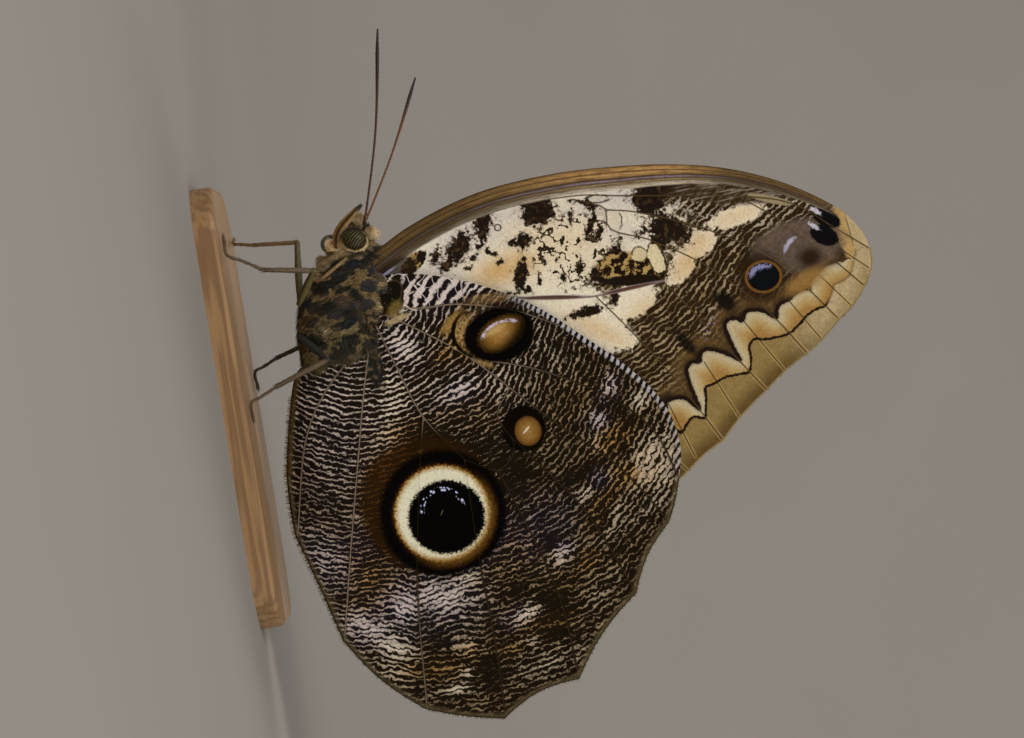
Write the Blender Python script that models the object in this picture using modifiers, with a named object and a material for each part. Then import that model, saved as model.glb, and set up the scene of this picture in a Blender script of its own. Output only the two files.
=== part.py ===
"""Owl butterfly at life size, standing with its wings closed over its back, on a plain flat base.

The head points to -X and the tail to +X, up is +Z, and the butterfly's left side faces -Y.
The origin is the middle of the base's underside. Sizes below are in millimetres.
"""
import math

import bmesh
import bpy
from mathutils import Vector
from mathutils.geometry import delaunay_2d_cdt, intersect_point_line

MM = 0.001
GAP = 0.3

# The plate that the feet stand on: length, width, thickness, corner radius and edge rounding
BASE_LENGTH = 60.0
BASE_WIDTH = 34.0
BASE_THICKNESS = 3.0
BASE_CORNER = 8.0
BASE_EDGE = 0.6
SOLE_HEIGHT = BASE_THICKNESS + GAP

# Wings: thickness of the membrane and of a vein's ridge, the ridge's half width, and the mesh's steps
MEMBRANE = 0.5
VEIN = 0.9
VEIN_HALF_WIDTH = 0.42
VEIN_STEP = 4.2
MARGIN_STEP = 3.2
SHEET_STEP = 6.0
SHEET_CLEARANCE = 2.1

# Distance of each wing's middle layer from the mirror plane, where the closed wings lie flat
FOREWING_LAYER = 0.65
HINDWING_LAYER = 1.85
# The wings spread apart towards their hinge on the thorax, over this reach and by this much
HINGE = (-13.5, 21.5)
FLARE_REACH = 8.5
FLARE = 1.7
# The hindwings swell round the abdomen with this much room, and close again behind its tip
ABDOMEN_ROOM = GAP + VEIN / 2 + 0.25
SWELL_HALF_HEIGHT = 6.0
SWELL_END = (22.5, 34.5)

# Stations along the body: x, height of the middle, half height, half width
THORAX = [
    (-18.6, 20.4, 0.0, 0.0),
    (-18.4, 20.3, 3.3, 2.7),
    (-17.2, 19.4, 4.6, 3.5),
    (-15.0, 18.0, 5.4, 4.2),
    (-12.0, 17.1, 6.0, 4.4),
    (-8.6, 16.6, 6.2, 4.3),
    (-6.0, 16.2, 5.2, 3.8),
    (-4.4, 15.9, 3.5, 2.9),
    (-4.0, 15.8, 0.0, 0.0),
]
ABDOMEN = [
    (-6.5, 15.8, 0.0, 0.0),
    (-6.0, 15.8, 2.0, 1.9),
    (-2.0, 15.2, 3.0, 2.7),
    (3.0, 14.5, 3.3, 2.9),
    (10.0, 13.5, 3.1, 2.8),
    (17.0, 12.7, 2.4, 2.2),
    (21.5, 12.2, 1.4, 1.3),
    (22.8, 12.0, 0.0, 0.0),
]
HEAD = [
    (-22.6, 21.2, 0.0, 0.0),
    (-22.4, 21.2, 1.1, 1.0),
    (-21.6, 21.0, 2.0, 1.7),
    (-20.3, 20.7, 2.6, 2.1),
    (-19.0, 20.5, 2.9, 2.3),
    (-17.8, 20.3, 2.5, 2.1),
    (-17.4, 20.3, 0.0, 0.0),
]
ABDOMEN_RINGS = 7
ABDOMEN_RING_DEPTH = 0.12
BODY_BOXINESS = 2.4

EYE_CENTRE = (-20.3, 2.3, 20.7)
EYE_RADII = (1.52, 1.2, 1.72)
EYE_LEAN = -20.0

# Forewing: leading edge, then each vein's end on the outer margin with the bulge of the edge to the next
FOREWING_LEADING = [
    (-17.2, 21.4), (-18.6, 24.0), (-20.6, 27.9), (-22.6, 33.4), (-24.0, 39.5), (-24.6, 46.9),
    (-24.5, 54.0), (-23.6, 63.2), (-21.7, 71.8), (-18.4, 79.6), (-14.0, 86.1), (-10.4, 89.0),
]
FOREWING_MARGIN = [
    (-7.7, 89.9, 0.15), (-2.7, 88.4, 0.1), (1.3, 84.2, 0.1), (5.2, 79.1, -0.25),
    (9.3, 72.8, -0.3), (15.1, 65.8, -0.25), (18.5, 60.4, 0.0), (21.2, 56.4, 0.0),
]
FOREWING_TRAILING = [(21.2, 56.4), (12.0, 48.2), (0.0, 36.6), (-9.0, 26.6), (-13.2, 21.4)]
FOREWING_VEINS = {
    "cubitus": [(-14.8, 21.6), (-11.6, 31.5), (-8.7, 41.3), (-7.2, 51.8), (-7.8, 61.2)],
    "radius": [(-16.0, 21.6), (-18.6, 30.0), (-21.0, 41.0), (-21.2, 51.0), (-20.2, 57.3),
               (-17.5, 73.3), (-15.3, 80.4), (-11.2, 85.5), (-7.7, 89.7)],
    "cell_end": [(-20.2, 57.3), (-17.4, 59.5), (-13.9, 59.0), (-10.8, 58.6), (-7.8, 61.2)],
    "first_medial": [(-17.4, 59.5), (-13.6, 68.9), (-7.7, 77.2), (1.1, 84.0)],
    "second_medial": [(-13.9, 59.0), (-8.7, 67.7), (-1.5, 74.6), (5.0, 79.0)],
    "third_medial": [(-7.8, 61.2), (-0.5, 66.3), (9.1, 72.7)],
    "first_cubital": [(-7.2, 51.8), (-2.0, 55.6), (5.9, 60.8), (14.9, 65.7)],
    "second_cubital": [(-9.6, 37.5), (-2.5, 44.0), (8.0, 52.2), (18.3, 60.3)],
    "anal": [(-13.9, 21.7), (-6.6, 31.2), (2.5, 41.8), (12.4, 50.6), (20.8, 56.3)],
    "fifth_radial": [(-17.5, 73.3), (-11.4, 80.6), (-2.8, 88.2)],
}

# Hindwing: the edge nearest the head, the outer margin at the vein ends, the edge along the abdomen
HINDWING_LEADING = [
    (-12.9, 20.6), (-14.5, 23.6), (-14.3, 27.0), (-13.2, 31.4), (-10.8, 37.3), (-7.2, 43.4),
    (-2.0, 49.3), (3.6, 55.0), (9.0, 58.7), (14.6, 59.9),
]
HINDWING_MARGIN = [
    (19.2, 59.0, 0.15), (24.8, 56.7, -0.75), (33.7, 50.7, -0.75), (44.0, 41.1, -1.0), (47.7, 30.2, 0.3),
    (44.7, 19.8, 0.8), (33.7, 10.2, -0.1), (18.6, 6.1, 0.2), (9.5, 6.3, 0.0),
]
HINDWING_TRAILING = [
    (9.5, 6.3), (2.0, 8.0), (-3.3, 9.8), (-4.5, 12.5), (-4.6, 16.0), (-5.6, 18.8), (-8.0, 20.4),
]
HINDWING_VEINS = {
    "costal": [(-11.6, 21.2), (-9.6, 26.5), (-9.1, 33.1), (-7.1, 40.3), (-4.0, 46.3)],
    "radial": [(-1.6, 33.5), (1.5, 42.5), (6.8, 51.4), (12.2, 56.6), (18.8, 58.9)],
    "first_medial": [(-10.4, 21.2), (-7.2, 26.2), (-1.6, 33.5), (8.2, 42.8), (16.3, 51.1), (24.6, 56.6)],
    "second_medial": [(3.6, 37.9), (7.2, 35.9), (13.1, 39.6), (21.8, 45.8), (33.4, 50.6)],
    "third_medial": [(14.1, 34.8), (25.5, 38.5), (34.0, 40.5), (43.8, 41.1)],
    "cell_end": [(7.2, 35.9), (11.4, 37.5), (14.1, 34.8), (11.9, 30.5)],
    "cubitus": [(-9.2, 21.2), (-2.7, 23.2), (5.3, 25.9), (11.9, 30.5)],
    "first_cubital": [(11.9, 30.5), (25.7, 30.3), (36.0, 30.6), (47.5, 30.4)],
    "second_cubital": [(5.3, 25.9), (14.0, 23.9), (28.6, 21.3), (44.5, 20.0)],
    "second_anal": [(-7.6, 20.9), (1.0, 18.4), (11.0, 15.9), (22.5, 13.0), (33.6, 10.4)],
    "third_anal": [(-6.2, 19.8), (-0.3, 13.4), (6.5, 9.4), (18.5, 6.4)],
}

# Each leg: hip, knee and ankle, then where the toe lies on the base; y is measured away from the middle
LEGS = {
    "midleg_left": [(-12.6, 2.2, 11.6), (-16.7, 7.9, 14.6), (-17.8, 9.6, 8.0), (-20.6, 10.6, 3.9)],
    "midleg_right": [(-12.6, 2.2, 11.6), (-21.3, 3.6, 12.5), (-21.9, 6.0, 6.3), (-22.6, 8.6, 3.9)],
    "hindleg_left": [(-8.4, 2.2, 10.9), (-4.4, 8.0, 14.5), (-2.0, 9.0, 7.2), (-0.3, 10.0, 3.9)],
    "hindleg_right": [(-8.6, 2.2, 10.9), (-7.9, 8.0, 13.8), (-6.0, 8.6, 6.9), (-4.5, 9.4, 3.9)],
}
TOE_RUN = 2.6
FEMUR_RADIUS = 0.46
TIBIA_RADIUS = 0.33
TARSUS_RADIUS = 0.28
TARSUS_PADS = 5

# The small folded foreleg lies against the side of the thorax, from below the head to the chest
FORELEG = [(-17.9, 3.7, 19.3), (-16.6, 4.35, 16.6), (-15.0, 4.35, 13.8)]
FORELEG_RADIUS = 0.42

ANTENNA_ROOT = (-21.3, 0.8, 22.0)
ANTENNA_TIPS = {"left": (-47.5, 7.6, 28.4), "right": (-41.8, 15.5, 32.1)}
ANTENNA_BOW = {"left": 0.6, "right": 0.5}
ANTENNA_RADIUS = 0.25
CLUB_RADIUS = 0.31

PALP = [(-19.7, 1.35, 18.3), (-21.2, 1.4, 18.5), (-22.4, 1.35, 19.7), (-23.5, 1.2, 21.0), (-24.6, 1.0, 22.0)]
PALP_RADII = [0.5, 0.62, 0.58, 0.42, 0.12]

PROBOSCIS_CENTRE = (-19.95, 17.15)
PROBOSCIS_RADIUS = 1.17
PROBOSCIS_PITCH = 0.7
PROBOSCIS_START = 50.0
PROBOSCIS_TURNS = 0.95
PROBOSCIS_THICKNESS = 0.28

FINISHES = {
    "wing": ((0.16, 0.12, 0.08), 0.7),
    "body": ((0.15, 0.09, 0.05), 0.9),
    "leg": ((0.22, 0.15, 0.07), 0.5),
    "antenna": ((0.16, 0.05, 0.02), 0.5),
    "eye": ((0.05, 0.04, 0.015), 0.25),
    "base": ((0.55, 0.45, 0.33), 0.6),
}


def clear_scene():
    for item in list(bpy.data.objects):
        bpy.data.objects.remove(item, do_unlink=True)


def butterfly_collection():
    collection = bpy.data.collections.new("owl_butterfly")
    bpy.context.scene.collection.children.link(collection)
    return collection


def finish_material(kind, name):
    colour, roughness = FINISHES[kind]
    material = bpy.data.materials.new(name + "_finish")
    material.use_nodes = True
    shader = material.node_tree.nodes["Principled BSDF"]
    shader.inputs["Base Color"].default_value = (*colour, 1.0)
    shader.inputs["Roughness"].default_value = roughness
    return material


def add_part(name, mesh, kind):
    """Puts a mesh, whose points are in millimetres, into the collection as one named part."""
    for vertex in mesh.vertices:
        vertex.co = vertex.co * MM
    mesh.name = name
    part = bpy.data.objects.new(name, mesh)
    mesh.materials.append(finish_material(kind, name))
    mesh.shade_smooth()
    mesh.set_sharp_from_angle(angle=math.radians(50))
    PARTS.objects.link(part)
    return part


def mesh_from(bm):
    mesh = bpy.data.meshes.new("shape")
    bm.to_mesh(mesh)
    bm.free()
    return mesh


def smooth_path(points, count):
    """Points at even steps on a smooth curve through the given points, of two or three numbers each."""
    points = [Vector(p) for p in points]
    if len(points) == 2:
        dense = [points[0].lerp(points[1], i / 40) for i in range(41)]
    else:
        ends = [2 * points[0] - points[1]] + points + [2 * points[-1] - points[-2]]
        dense = []
        for a, b, c, d in zip(ends, ends[1:], ends[2:], ends[3:]):
            for i in range(16):
                t = i / 16
                dense.append(0.5 * (2 * b + (c - a) * t + (2 * a - 5 * b + 4 * c - d) * t ** 2
                                    + (3 * b - a - 3 * c + d) * t ** 3))
        dense.append(points[-1])
    lengths = [0.0]
    for a, b in zip(dense, dense[1:]):
        lengths.append(lengths[-1] + (b - a).length)
    path = []
    step = 0
    for i in range(count):
        target = lengths[-1] * i / (count - 1)
        while step < len(dense) - 2 and lengths[step + 1] < target:
            step += 1
        share = (target - lengths[step]) / max(lengths[step + 1] - lengths[step], 1e-9)
        path.append(dense[step].lerp(dense[step + 1], min(max(share, 0.0), 1.0)))
    return path


def path_length(points):
    return sum((Vector(b) - Vector(a)).length for a, b in zip(points, points[1:]))


def stepped_path(points, step):
    return smooth_path(points, max(3, round(path_length(points) / step) + 1))


def size_along(sizes, share):
    """The size at a given share of the way along a list of sizes."""
    place = share * (len(sizes) - 1)
    row = min(int(place), len(sizes) - 2)
    return sizes[row] + (sizes[row + 1] - sizes[row]) * (place - row)


def size_at(stations, x):
    """Height of the middle, half height and half width of the body at one place along it."""
    for a, b in zip(stations, stations[1:]):
        if a[0] <= x <= b[0]:
            t = (x - a[0]) / (b[0] - a[0])
            return [p + (q - p) * t for p, q in zip(a[1:], b[1:])]
    return [stations[0][1] if x < stations[0][0] else stations[-1][1], 0.0, 0.0]


def body_piece(stations, around, along, boxiness=2.0, rings=0, grow=0.0):
    """A rounded body along X: a ball whose rings are moved to the sizes of the stations."""
    bm = bmesh.new()
    bmesh.ops.create_uvsphere(bm, u_segments=around, v_segments=along, radius=1.0)
    smooth = smooth_path(stations, along + 1)
    last = len(smooth) - 1
    for vertex in bm.verts:
        ring = round(math.acos(max(-1.0, min(1.0, vertex.co.z))) / math.pi * last)
        x, middle, half_height, half_width = smooth[ring]
        if 0 < ring < last:
            half_height += grow
            half_width += grow
        else:
            half_height = half_width = 0.0
            x += grow if ring == last else -grow
        if rings and 0 < ring < last and ring % 2 == 0:
            half_height -= ABDOMEN_RING_DEPTH
            half_width -= ABDOMEN_RING_DEPTH
        angle = math.atan2(vertex.co.y, vertex.co.x)
        side, lift = math.cos(angle), math.sin(angle)
        round_off = (abs(side) ** boxiness + abs(lift) ** boxiness) ** (-1.0 / boxiness)
        vertex.co = (x, side * round_off * half_width, middle + lift * round_off * half_height)
    bmesh.ops.reverse_faces(bm, faces=bm.faces)
    return bm


def thorax_shape(grow=0.0):
    return body_piece(THORAX, 20, 14, BODY_BOXINESS, grow=grow)


def head_shape(grow=0.0):
    return body_piece(HEAD, 16, 12, grow=grow)


def make_body():
    add_part("thorax", mesh_from(thorax_shape()), "body")
    abdomen = body_piece(ABDOMEN, 16, 2 * ABDOMEN_RINGS + 2, rings=ABDOMEN_RINGS)
    seat(add_part("abdomen", mesh_from(abdomen), "body"), thorax_shape)


def make_head():
    head = add_part("head", mesh_from(head_shape()), "body")
    seat(head, thorax_shape)
    for side, sign in (("left", -1), ("right", 1)):
        cut_from(head, eye_shape(sign, GAP))
        add_part("eye_" + side, mesh_from(eye_shape(sign, 0.0)), "eye")


def eye_shape(sign, grow):
    bm = bmesh.new()
    bmesh.ops.create_uvsphere(bm, u_segments=16, v_segments=10, radius=1.0)
    lean = math.radians(EYE_LEAN)
    for vertex in bm.verts:
        x, y, z = (part * (radius + grow) for part, radius in zip(vertex.co, EYE_RADII))
        x, z = x * math.cos(lean) - z * math.sin(lean), x * math.sin(lean) + z * math.cos(lean)
        vertex.co = (EYE_CENTRE[0] + x, sign * EYE_CENTRE[1] + y, EYE_CENTRE[2] + z)
    return bm


def seat(part, carrier_shape):
    """Ends a part on the surface of what carries it, a gap away from it, face to face."""
    cut_from(part, carrier_shape(GAP))


def cut_from(part, cutter_bm):
    """Cuts a shape out of a part and keeps the largest closed piece."""
    name = part.name + "_cutter"
    mesh = mesh_from(cutter_bm)
    for vertex in mesh.vertices:
        vertex.co = vertex.co * MM
    cutter = bpy.data.objects.new(name, mesh)
    CUTTERS.objects.link(cutter)
    cutter.hide_render = True
    cutter.display_type = "WIRE"
    cut = part.modifiers.new(name, "BOOLEAN")
    cut.operation = "DIFFERENCE"
    cut.object = cutter
    apply_modifiers(part)
    bpy.data.objects.remove(cutter, do_unlink=True)
    keep_largest(part)


def apply_modifiers(part):
    bpy.context.view_layer.update()
    shape = part.evaluated_get(bpy.context.evaluated_depsgraph_get())
    mesh = bpy.data.meshes.new_from_object(shape)
    part.modifiers.clear()
    part.data = mesh


def keep_largest(part):
    bm = bmesh.new()
    bm.from_mesh(part.data)
    bmesh.ops.remove_doubles(bm, verts=bm.verts, dist=0.002 * MM)
    unseen = set(bm.faces)
    pieces = []
    while unseen:
        stack = [unseen.pop()]
        piece = list(stack)
        while stack:
            for edge in stack.pop().edges:
                for face in edge.link_faces:
                    if face in unseen:
                        unseen.remove(face)
                        stack.append(face)
                        piece.append(face)
        pieces.append(piece)
    largest = max(pieces, key=lambda faces: sum(face.calc_area() for face in faces))
    keep = set(largest)
    bmesh.ops.delete(bm, geom=[face for face in bm.faces if face not in keep], context="FACES")
    bm.to_mesh(part.data)
    bm.free()


def bulged_edge(start, end, bulge):
    """Points from one vein end towards the next, on an edge that bulges out, or in where negative."""
    start, end = Vector(start), Vector(end)
    along = end - start
    out = Vector((-along.y, along.x)).normalized()
    count = max(3, round(along.length / MARGIN_STEP))
    return [start + along * i / count + out * bulge * math.sin(math.pi * i / count) for i in range(count)]


def wing_outline(leading, margin, trailing):
    """The wing's edge, from the hinge along the front to the tip, down the margin and back to the hinge."""
    outline = stepped_path(leading + [margin[0][:2]], MARGIN_STEP)[:-1]
    for (ax, az, bulge), (bx, bz, _) in zip(margin, margin[1:]):
        outline += bulged_edge((ax, az), (bx, bz), bulge)
    outline += stepped_path(trailing, MARGIN_STEP)
    return outline


def flare_at(x, z):
    reach = math.hypot(x - HINGE[0], z - HINGE[1])
    return FLARE * math.exp(-(reach / FLARE_REACH) ** 2)


def forewing_height(x, z):
    return FOREWING_LAYER + flare_at(x, z)


def smooth_larger(a, b, blend=0.35):
    """The larger of two heights, rounded where they meet."""
    return 0.5 * (a + b + math.sqrt((a - b) ** 2 + blend ** 2))


def hindwing_height(x, z):
    """The hindwing also swells round the side of the abdomen, which lies between the two."""
    closing, closed = SWELL_END
    middle, _, half_width = size_at(ABDOMEN, min(max(x, ABDOMEN[2][0]), closing))
    clear = half_width + ABDOMEN_ROOM
    drop = (z - middle) / SWELL_HALF_HEIGHT
    behind = min(max((x - closing) / (closed - closing), 0.0), 1.0)
    swell = max(clear - HINDWING_LAYER, 0.0) * math.exp(-drop ** 4) * (1.0 - behind)
    return HINDWING_LAYER + smooth_larger(flare_at(x, z), swell)


def nearest_vein(point, veins):
    """Distance from a point of the wing's plane to the nearest vein."""
    best = 1e9
    for path in veins:
        for a, b in zip(path, path[1:]):
            foot, share = intersect_point_line(point, a, b)
            spot = a if share < 0 else b if share > 1 else foot
            best = min(best, (point - spot.to_2d()).length)
    return best


def wing_sheet(outline, vein_paths):
    """Splits the wing's plane into triangles that follow its edge, its veins and the sides of each ridge."""
    points = [Vector(p) for p in outline]
    edges = []
    for path in vein_paths:
        along = [b - a for a, b in zip(path, path[1:])]
        along.append(along[-1])
        for offset in (-VEIN_HALF_WIDTH, 0.0, VEIN_HALF_WIDTH):
            first = len(points)
            for spot, direction in zip(path, along):
                side = Vector((-direction.y, direction.x)).normalized()
                points.append(spot + side * offset)
            edges += [(i, i + 1) for i in range(first, len(points) - 1)]
    low = Vector((min(p.x for p in outline), min(p.y for p in outline)))
    high = Vector((max(p.x for p in outline), max(p.y for p in outline)))
    border = outline + [outline[0]]
    for row in range(1, int((high.y - low.y) / SHEET_STEP) + 1):
        for column in range(1, int((high.x - low.x) / SHEET_STEP) + 1):
            spot = low + Vector(((column - 0.5 * (row % 2)) * SHEET_STEP, row * SHEET_STEP))
            if nearest_vein(spot, vein_paths + [border]) > SHEET_CLEARANCE:
                points.append(spot)
    face = list(range(len(outline)))
    spots, _, triangles, _, _, _ = delaunay_2d_cdt(points, edges, [face], 1, 0.05)
    return spots, triangles


def make_wing(name, sign, outline, veins, height):
    vein_paths = [stepped_path(points, VEIN_STEP) for points in veins.values()]
    spots, triangles = wing_sheet(outline, vein_paths)
    bm = bmesh.new()
    corners = [bm.verts.new((p.x, sign * height(p.x, p.y), p.y)) for p in spots]
    for triangle in triangles:
        bm.faces.new([corners[i] for i in triangle])
    bmesh.ops.delete(bm, geom=[v for v in bm.verts if not v.link_faces], context="VERTS")
    bmesh.ops.recalc_face_normals(bm, faces=bm.faces)
    weights = []
    for vertex in bm.verts:
        reach = nearest_vein(Vector((vertex.co.x, vertex.co.z)), vein_paths)
        ridge = max(0.0, 1.0 - reach / VEIN_HALF_WIDTH)
        weights.append((MEMBRANE + (VEIN - MEMBRANE) * ridge) / VEIN)
    wing = add_part(name, mesh_from(bm), "wing")
    group = wing.vertex_groups.new(name="thickness")
    for index, weight in enumerate(weights):
        group.add([index], weight, "REPLACE")
    wall = wing.modifiers.new("wall", "SOLIDIFY")
    wall.thickness = VEIN * MM
    wall.offset = 0.0
    wall.vertex_group = "thickness"
    wall.thickness_vertex_group = 0.0
    apply_modifiers(wing)
    seat(wing, thorax_shape)


def make_wings():
    forewing = wing_outline(FOREWING_LEADING, FOREWING_MARGIN, FOREWING_TRAILING)
    hindwing = wing_outline(HINDWING_LEADING, HINDWING_MARGIN, HINDWING_TRAILING)
    for side, sign in (("left", -1), ("right", 1)):
        make_wing("forewing_" + side, sign, forewing, FOREWING_VEINS, forewing_height)
        make_wing("hindwing_" + side, sign, hindwing, HINDWING_VEINS, hindwing_height)


def tube(name, path, radii, kind, sides=2):
    """A tapered tube along a path, in millimetres, with closed ends and a flat sole at the base."""
    curve = bpy.data.curves.new(name + "_path", "CURVE")
    curve.dimensions = "3D"
    curve.bevel_depth = 1.0
    curve.bevel_resolution = sides
    curve.use_fill_caps = True
    spline = curve.splines.new("POLY")
    spline.points.add(len(path) - 1)
    for point, spot, radius in zip(spline.points, path, radii):
        point.co = (*spot, 1.0)
        point.radius = radius
    guide = bpy.data.objects.new(name + "_guide", curve)
    CUTTERS.objects.link(guide)
    bpy.context.view_layer.update()
    shape = guide.evaluated_get(bpy.context.evaluated_depsgraph_get())
    mesh = bpy.data.meshes.new_from_object(shape)
    bpy.data.objects.remove(guide, do_unlink=True)
    bm = bmesh.new()
    bm.from_mesh(mesh)
    bmesh.ops.remove_doubles(bm, verts=bm.verts, dist=0.001)
    for vertex in bm.verts:
        vertex.co.z = max(vertex.co.z, SOLE_HEIGHT)
    bmesh.ops.recalc_face_normals(bm, faces=bm.faces)
    bm.to_mesh(mesh)
    bm.free()
    return add_part(name, mesh, kind)


def mirrored(point, sign):
    return Vector((point[0], sign * point[1], point[2]))


def taper(count, *sizes):
    """Radii along a limb, through the given sizes."""
    return [size_along(sizes, i / (count - 1)) for i in range(count)]


def make_leg(name, hip, knee, ankle, toe):
    """Thigh, shin and foot. The shin's top passes the end of the thigh, and the foot lies on the base."""
    thigh = (knee - hip).normalized()
    shin = (ankle - knee).normalized()
    femur = smooth_path([hip, knee - thigh * (TIBIA_RADIUS + GAP)], 6)
    seat(tube(name + "_femur", femur, taper(6, 0.34, FEMUR_RADIUS, 0.36), "leg"), thorax_shape)
    tibia = smooth_path([knee - shin * 0.35, ankle - shin * GAP / 2], 6)
    tube(name + "_tibia", tibia, taper(6, TIBIA_RADIUS, 0.30, 0.27), "leg")
    ground = SOLE_HEIGHT + TARSUS_RADIUS - 0.05
    heading = Vector((toe.x - ankle.x, toe.y - ankle.y, 0.0)).normalized()
    landing = Vector((toe.x, toe.y, ground))
    foot = smooth_path([ankle + shin * GAP / 2, ankle.lerp(landing, 0.6), landing,
                        landing + heading * TOE_RUN], 4 * TARSUS_PADS + 1)
    radii = [TARSUS_RADIUS * (0.88 + 0.12 * math.cos(math.tau * i / 4)) for i in range(len(foot))]
    radii[-1] = 0.12
    tube(name + "_tarsus", foot, radii, "leg", 1)


def make_legs():
    for name, joints in LEGS.items():
        sign = -1 if name.endswith("left") else 1
        make_leg(name, *[mirrored(point, sign) for point in joints])
    for side, sign in (("left", -1), ("right", 1)):
        path = smooth_path([mirrored(point, sign) for point in FORELEG], 9)
        seat(tube("foreleg_" + side, path, taper(9, 0.3, FORELEG_RADIUS, 0.25), "leg"), thorax_shape)


def make_feelers():
    """Antennae with a slender club, palps that point up in front of the face, and the coiled tongue."""
    for side, sign in (("left", -1), ("right", 1)):
        root = mirrored(ANTENNA_ROOT, sign)
        tip = mirrored(ANTENNA_TIPS[side], sign)
        middle = root.lerp(tip, 0.5) + Vector((0.0, 0.0, ANTENNA_BOW[side]))
        path = smooth_path([root, middle, tip], 14)
        radii = [ANTENNA_RADIUS] * 10 + [CLUB_RADIUS] * 3 + [0.1]
        seat(tube("antenna_" + side, path, radii, "antenna", 1), head_shape)
        palp = [mirrored(point, sign) for point in PALP]
        count = 9
        radii = [size_along(PALP_RADII, i / (count - 1)) for i in range(count)]
        seat(tube("palp_" + side, smooth_path(palp, count), radii, "body"), head_shape)
    coil = []
    count = 28
    for i in range(count):
        turn = PROBOSCIS_TURNS * i / (count - 1)
        radius = PROBOSCIS_RADIUS - PROBOSCIS_PITCH * turn
        angle = math.radians(PROBOSCIS_START) + math.tau * turn
        coil.append((PROBOSCIS_CENTRE[0] + radius * math.cos(angle), 0.0,
                     PROBOSCIS_CENTRE[1] + radius * math.sin(angle)))
    radii = [PROBOSCIS_THICKNESS * (1.0 - 0.3 * i / (count - 1)) for i in range(count)]
    seat(tube("proboscis", coil, radii, "antenna", 1), head_shape)


def make_base():
    bm = bmesh.new()
    bmesh.ops.create_cube(bm, size=1.0)
    bmesh.ops.scale(bm, vec=(BASE_LENGTH, BASE_WIDTH, BASE_THICKNESS), verts=bm.verts)
    bmesh.ops.translate(bm, vec=(0.0, 0.0, BASE_THICKNESS / 2), verts=bm.verts)
    upright = [e for e in bm.edges if abs(e.verts[0].co.z - e.verts[1].co.z) > BASE_THICKNESS / 2]
    bmesh.ops.bevel(bm, geom=upright, offset=BASE_CORNER, segments=8, profile=0.5, affect="EDGES", material=-1)
    top = [e for e in bm.edges if min(v.co.z for v in e.verts) > BASE_THICKNESS - 0.001]
    bmesh.ops.bevel(bm, geom=top, offset=BASE_EDGE, segments=2, profile=0.5, affect="EDGES", material=-1)
    add_part("stand_base", mesh_from(bm), "base")


clear_scene()
PARTS = butterfly_collection()
CUTTERS = bpy.data.collections.new("cutters")
bpy.context.scene.collection.children.link(CUTTERS)
make_base()
make_body()
make_head()
make_feelers()
make_legs()
make_wings()
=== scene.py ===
"""Looks of a museum's life-size owl butterfly, wings closed over its back, on a small wooden plate.

The head points to -X, the tail to +X, up is +Z and the butterfly's left side faces -Y.
Shapes are worked out in millimetres and stored in metres. Wing places are (x, z) in the wing's plane.
"""
import math
import random

import bmesh
import bpy
import numpy as np
from mathutils import Matrix, Vector
from mathutils.geometry import delaunay_2d_cdt


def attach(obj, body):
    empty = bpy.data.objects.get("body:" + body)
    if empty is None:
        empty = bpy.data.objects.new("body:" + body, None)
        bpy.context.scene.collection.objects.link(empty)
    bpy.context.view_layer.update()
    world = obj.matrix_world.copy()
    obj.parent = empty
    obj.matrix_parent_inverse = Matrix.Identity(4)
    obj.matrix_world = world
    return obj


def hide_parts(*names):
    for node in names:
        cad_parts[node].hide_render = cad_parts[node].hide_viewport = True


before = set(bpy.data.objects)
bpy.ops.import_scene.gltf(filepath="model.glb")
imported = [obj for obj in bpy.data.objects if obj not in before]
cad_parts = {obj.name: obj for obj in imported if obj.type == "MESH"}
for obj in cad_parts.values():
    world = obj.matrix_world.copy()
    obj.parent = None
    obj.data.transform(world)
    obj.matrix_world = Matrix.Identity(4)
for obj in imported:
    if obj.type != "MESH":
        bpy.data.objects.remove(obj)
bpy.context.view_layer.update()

MM = 0.001
SIDES = (("left", -1), ("right", 1))

# The camera looks at the left side squarely, turned so that the picture's right is the butterfly's up
CAMERA_AIM = (0.8, -1.9, 38.9)
CAMERA_DISTANCE = 582.5
CAMERA_TURN = 80.7
CAMERA_LENS = 150.0

# The floor, in metres: half its size, where it begins to bend up behind, the steps of the bend and the wall
FLOOR_HALF = 0.9
FLOOR_BACK = 0.25
BEND_STEPS = 12
BEND_STEP = 0.045
WALL_HEIGHT = 1.2

# Lamps: name, place and size in metres, power in watts
LAMP_COLOUR = "fff8ee"
LAMP_AIM = (0.0, 0.0, 0.045)
LAMPS = [
    ("key_lamp", (-0.35, -0.55, 0.55), 0.5, 3.2),
    ("fill_lamp", (0.45, -0.5, 0.25), 0.5, 1.4),
    ("back_lamp", (0.1, 0.5, 0.6), 0.4, 2.0),
]

# Wings: half thickness of the thin sheet, gap between its two layers, ridge of a vein, steps of the mesh
SHEET_HALF = 0.14
LAYER_GAP = 0.01
VEIN_RIDGE = 0.09
VEIN_HALF_WIDTH = 0.3
VEIN_STEP = 1.0
EDGE_STEP = 0.6
SHEET_STEP = 0.62
INNER_STEP = 1.3
MERGE_WITHIN = 0.03
# Height of a row of triangles as a share of their side
ROW_SHARE = 0.87

# Stripes: their spacing, how far one direction holds in square millimetres, when the numbering is settled
STRIPE_SPACING = 0.8
LIE_REACH = 0.3
STRIPE_STEPS = 900
STRIPE_REST = 1e-8

# Real scales are about 0.1 mm wide; they are drawn a little coarser, so that they show
SCALE_SIZE = 0.17

# Distance of each wing from the mirror plane, and how the closed wings part round the body
FOREWING_LAYER = 0.65
HINDWING_LAYER = 1.85
HINGE = (-13.5, 21.5)
FLARE_REACH = 8.5
FLARE = 1.7
ABDOMEN_ROOM = 1.0
SWELL_HALF_HEIGHT = 6.0
SWELL_END = (22.5, 34.5)
SWELL_SOFTNESS = 0.12

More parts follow.
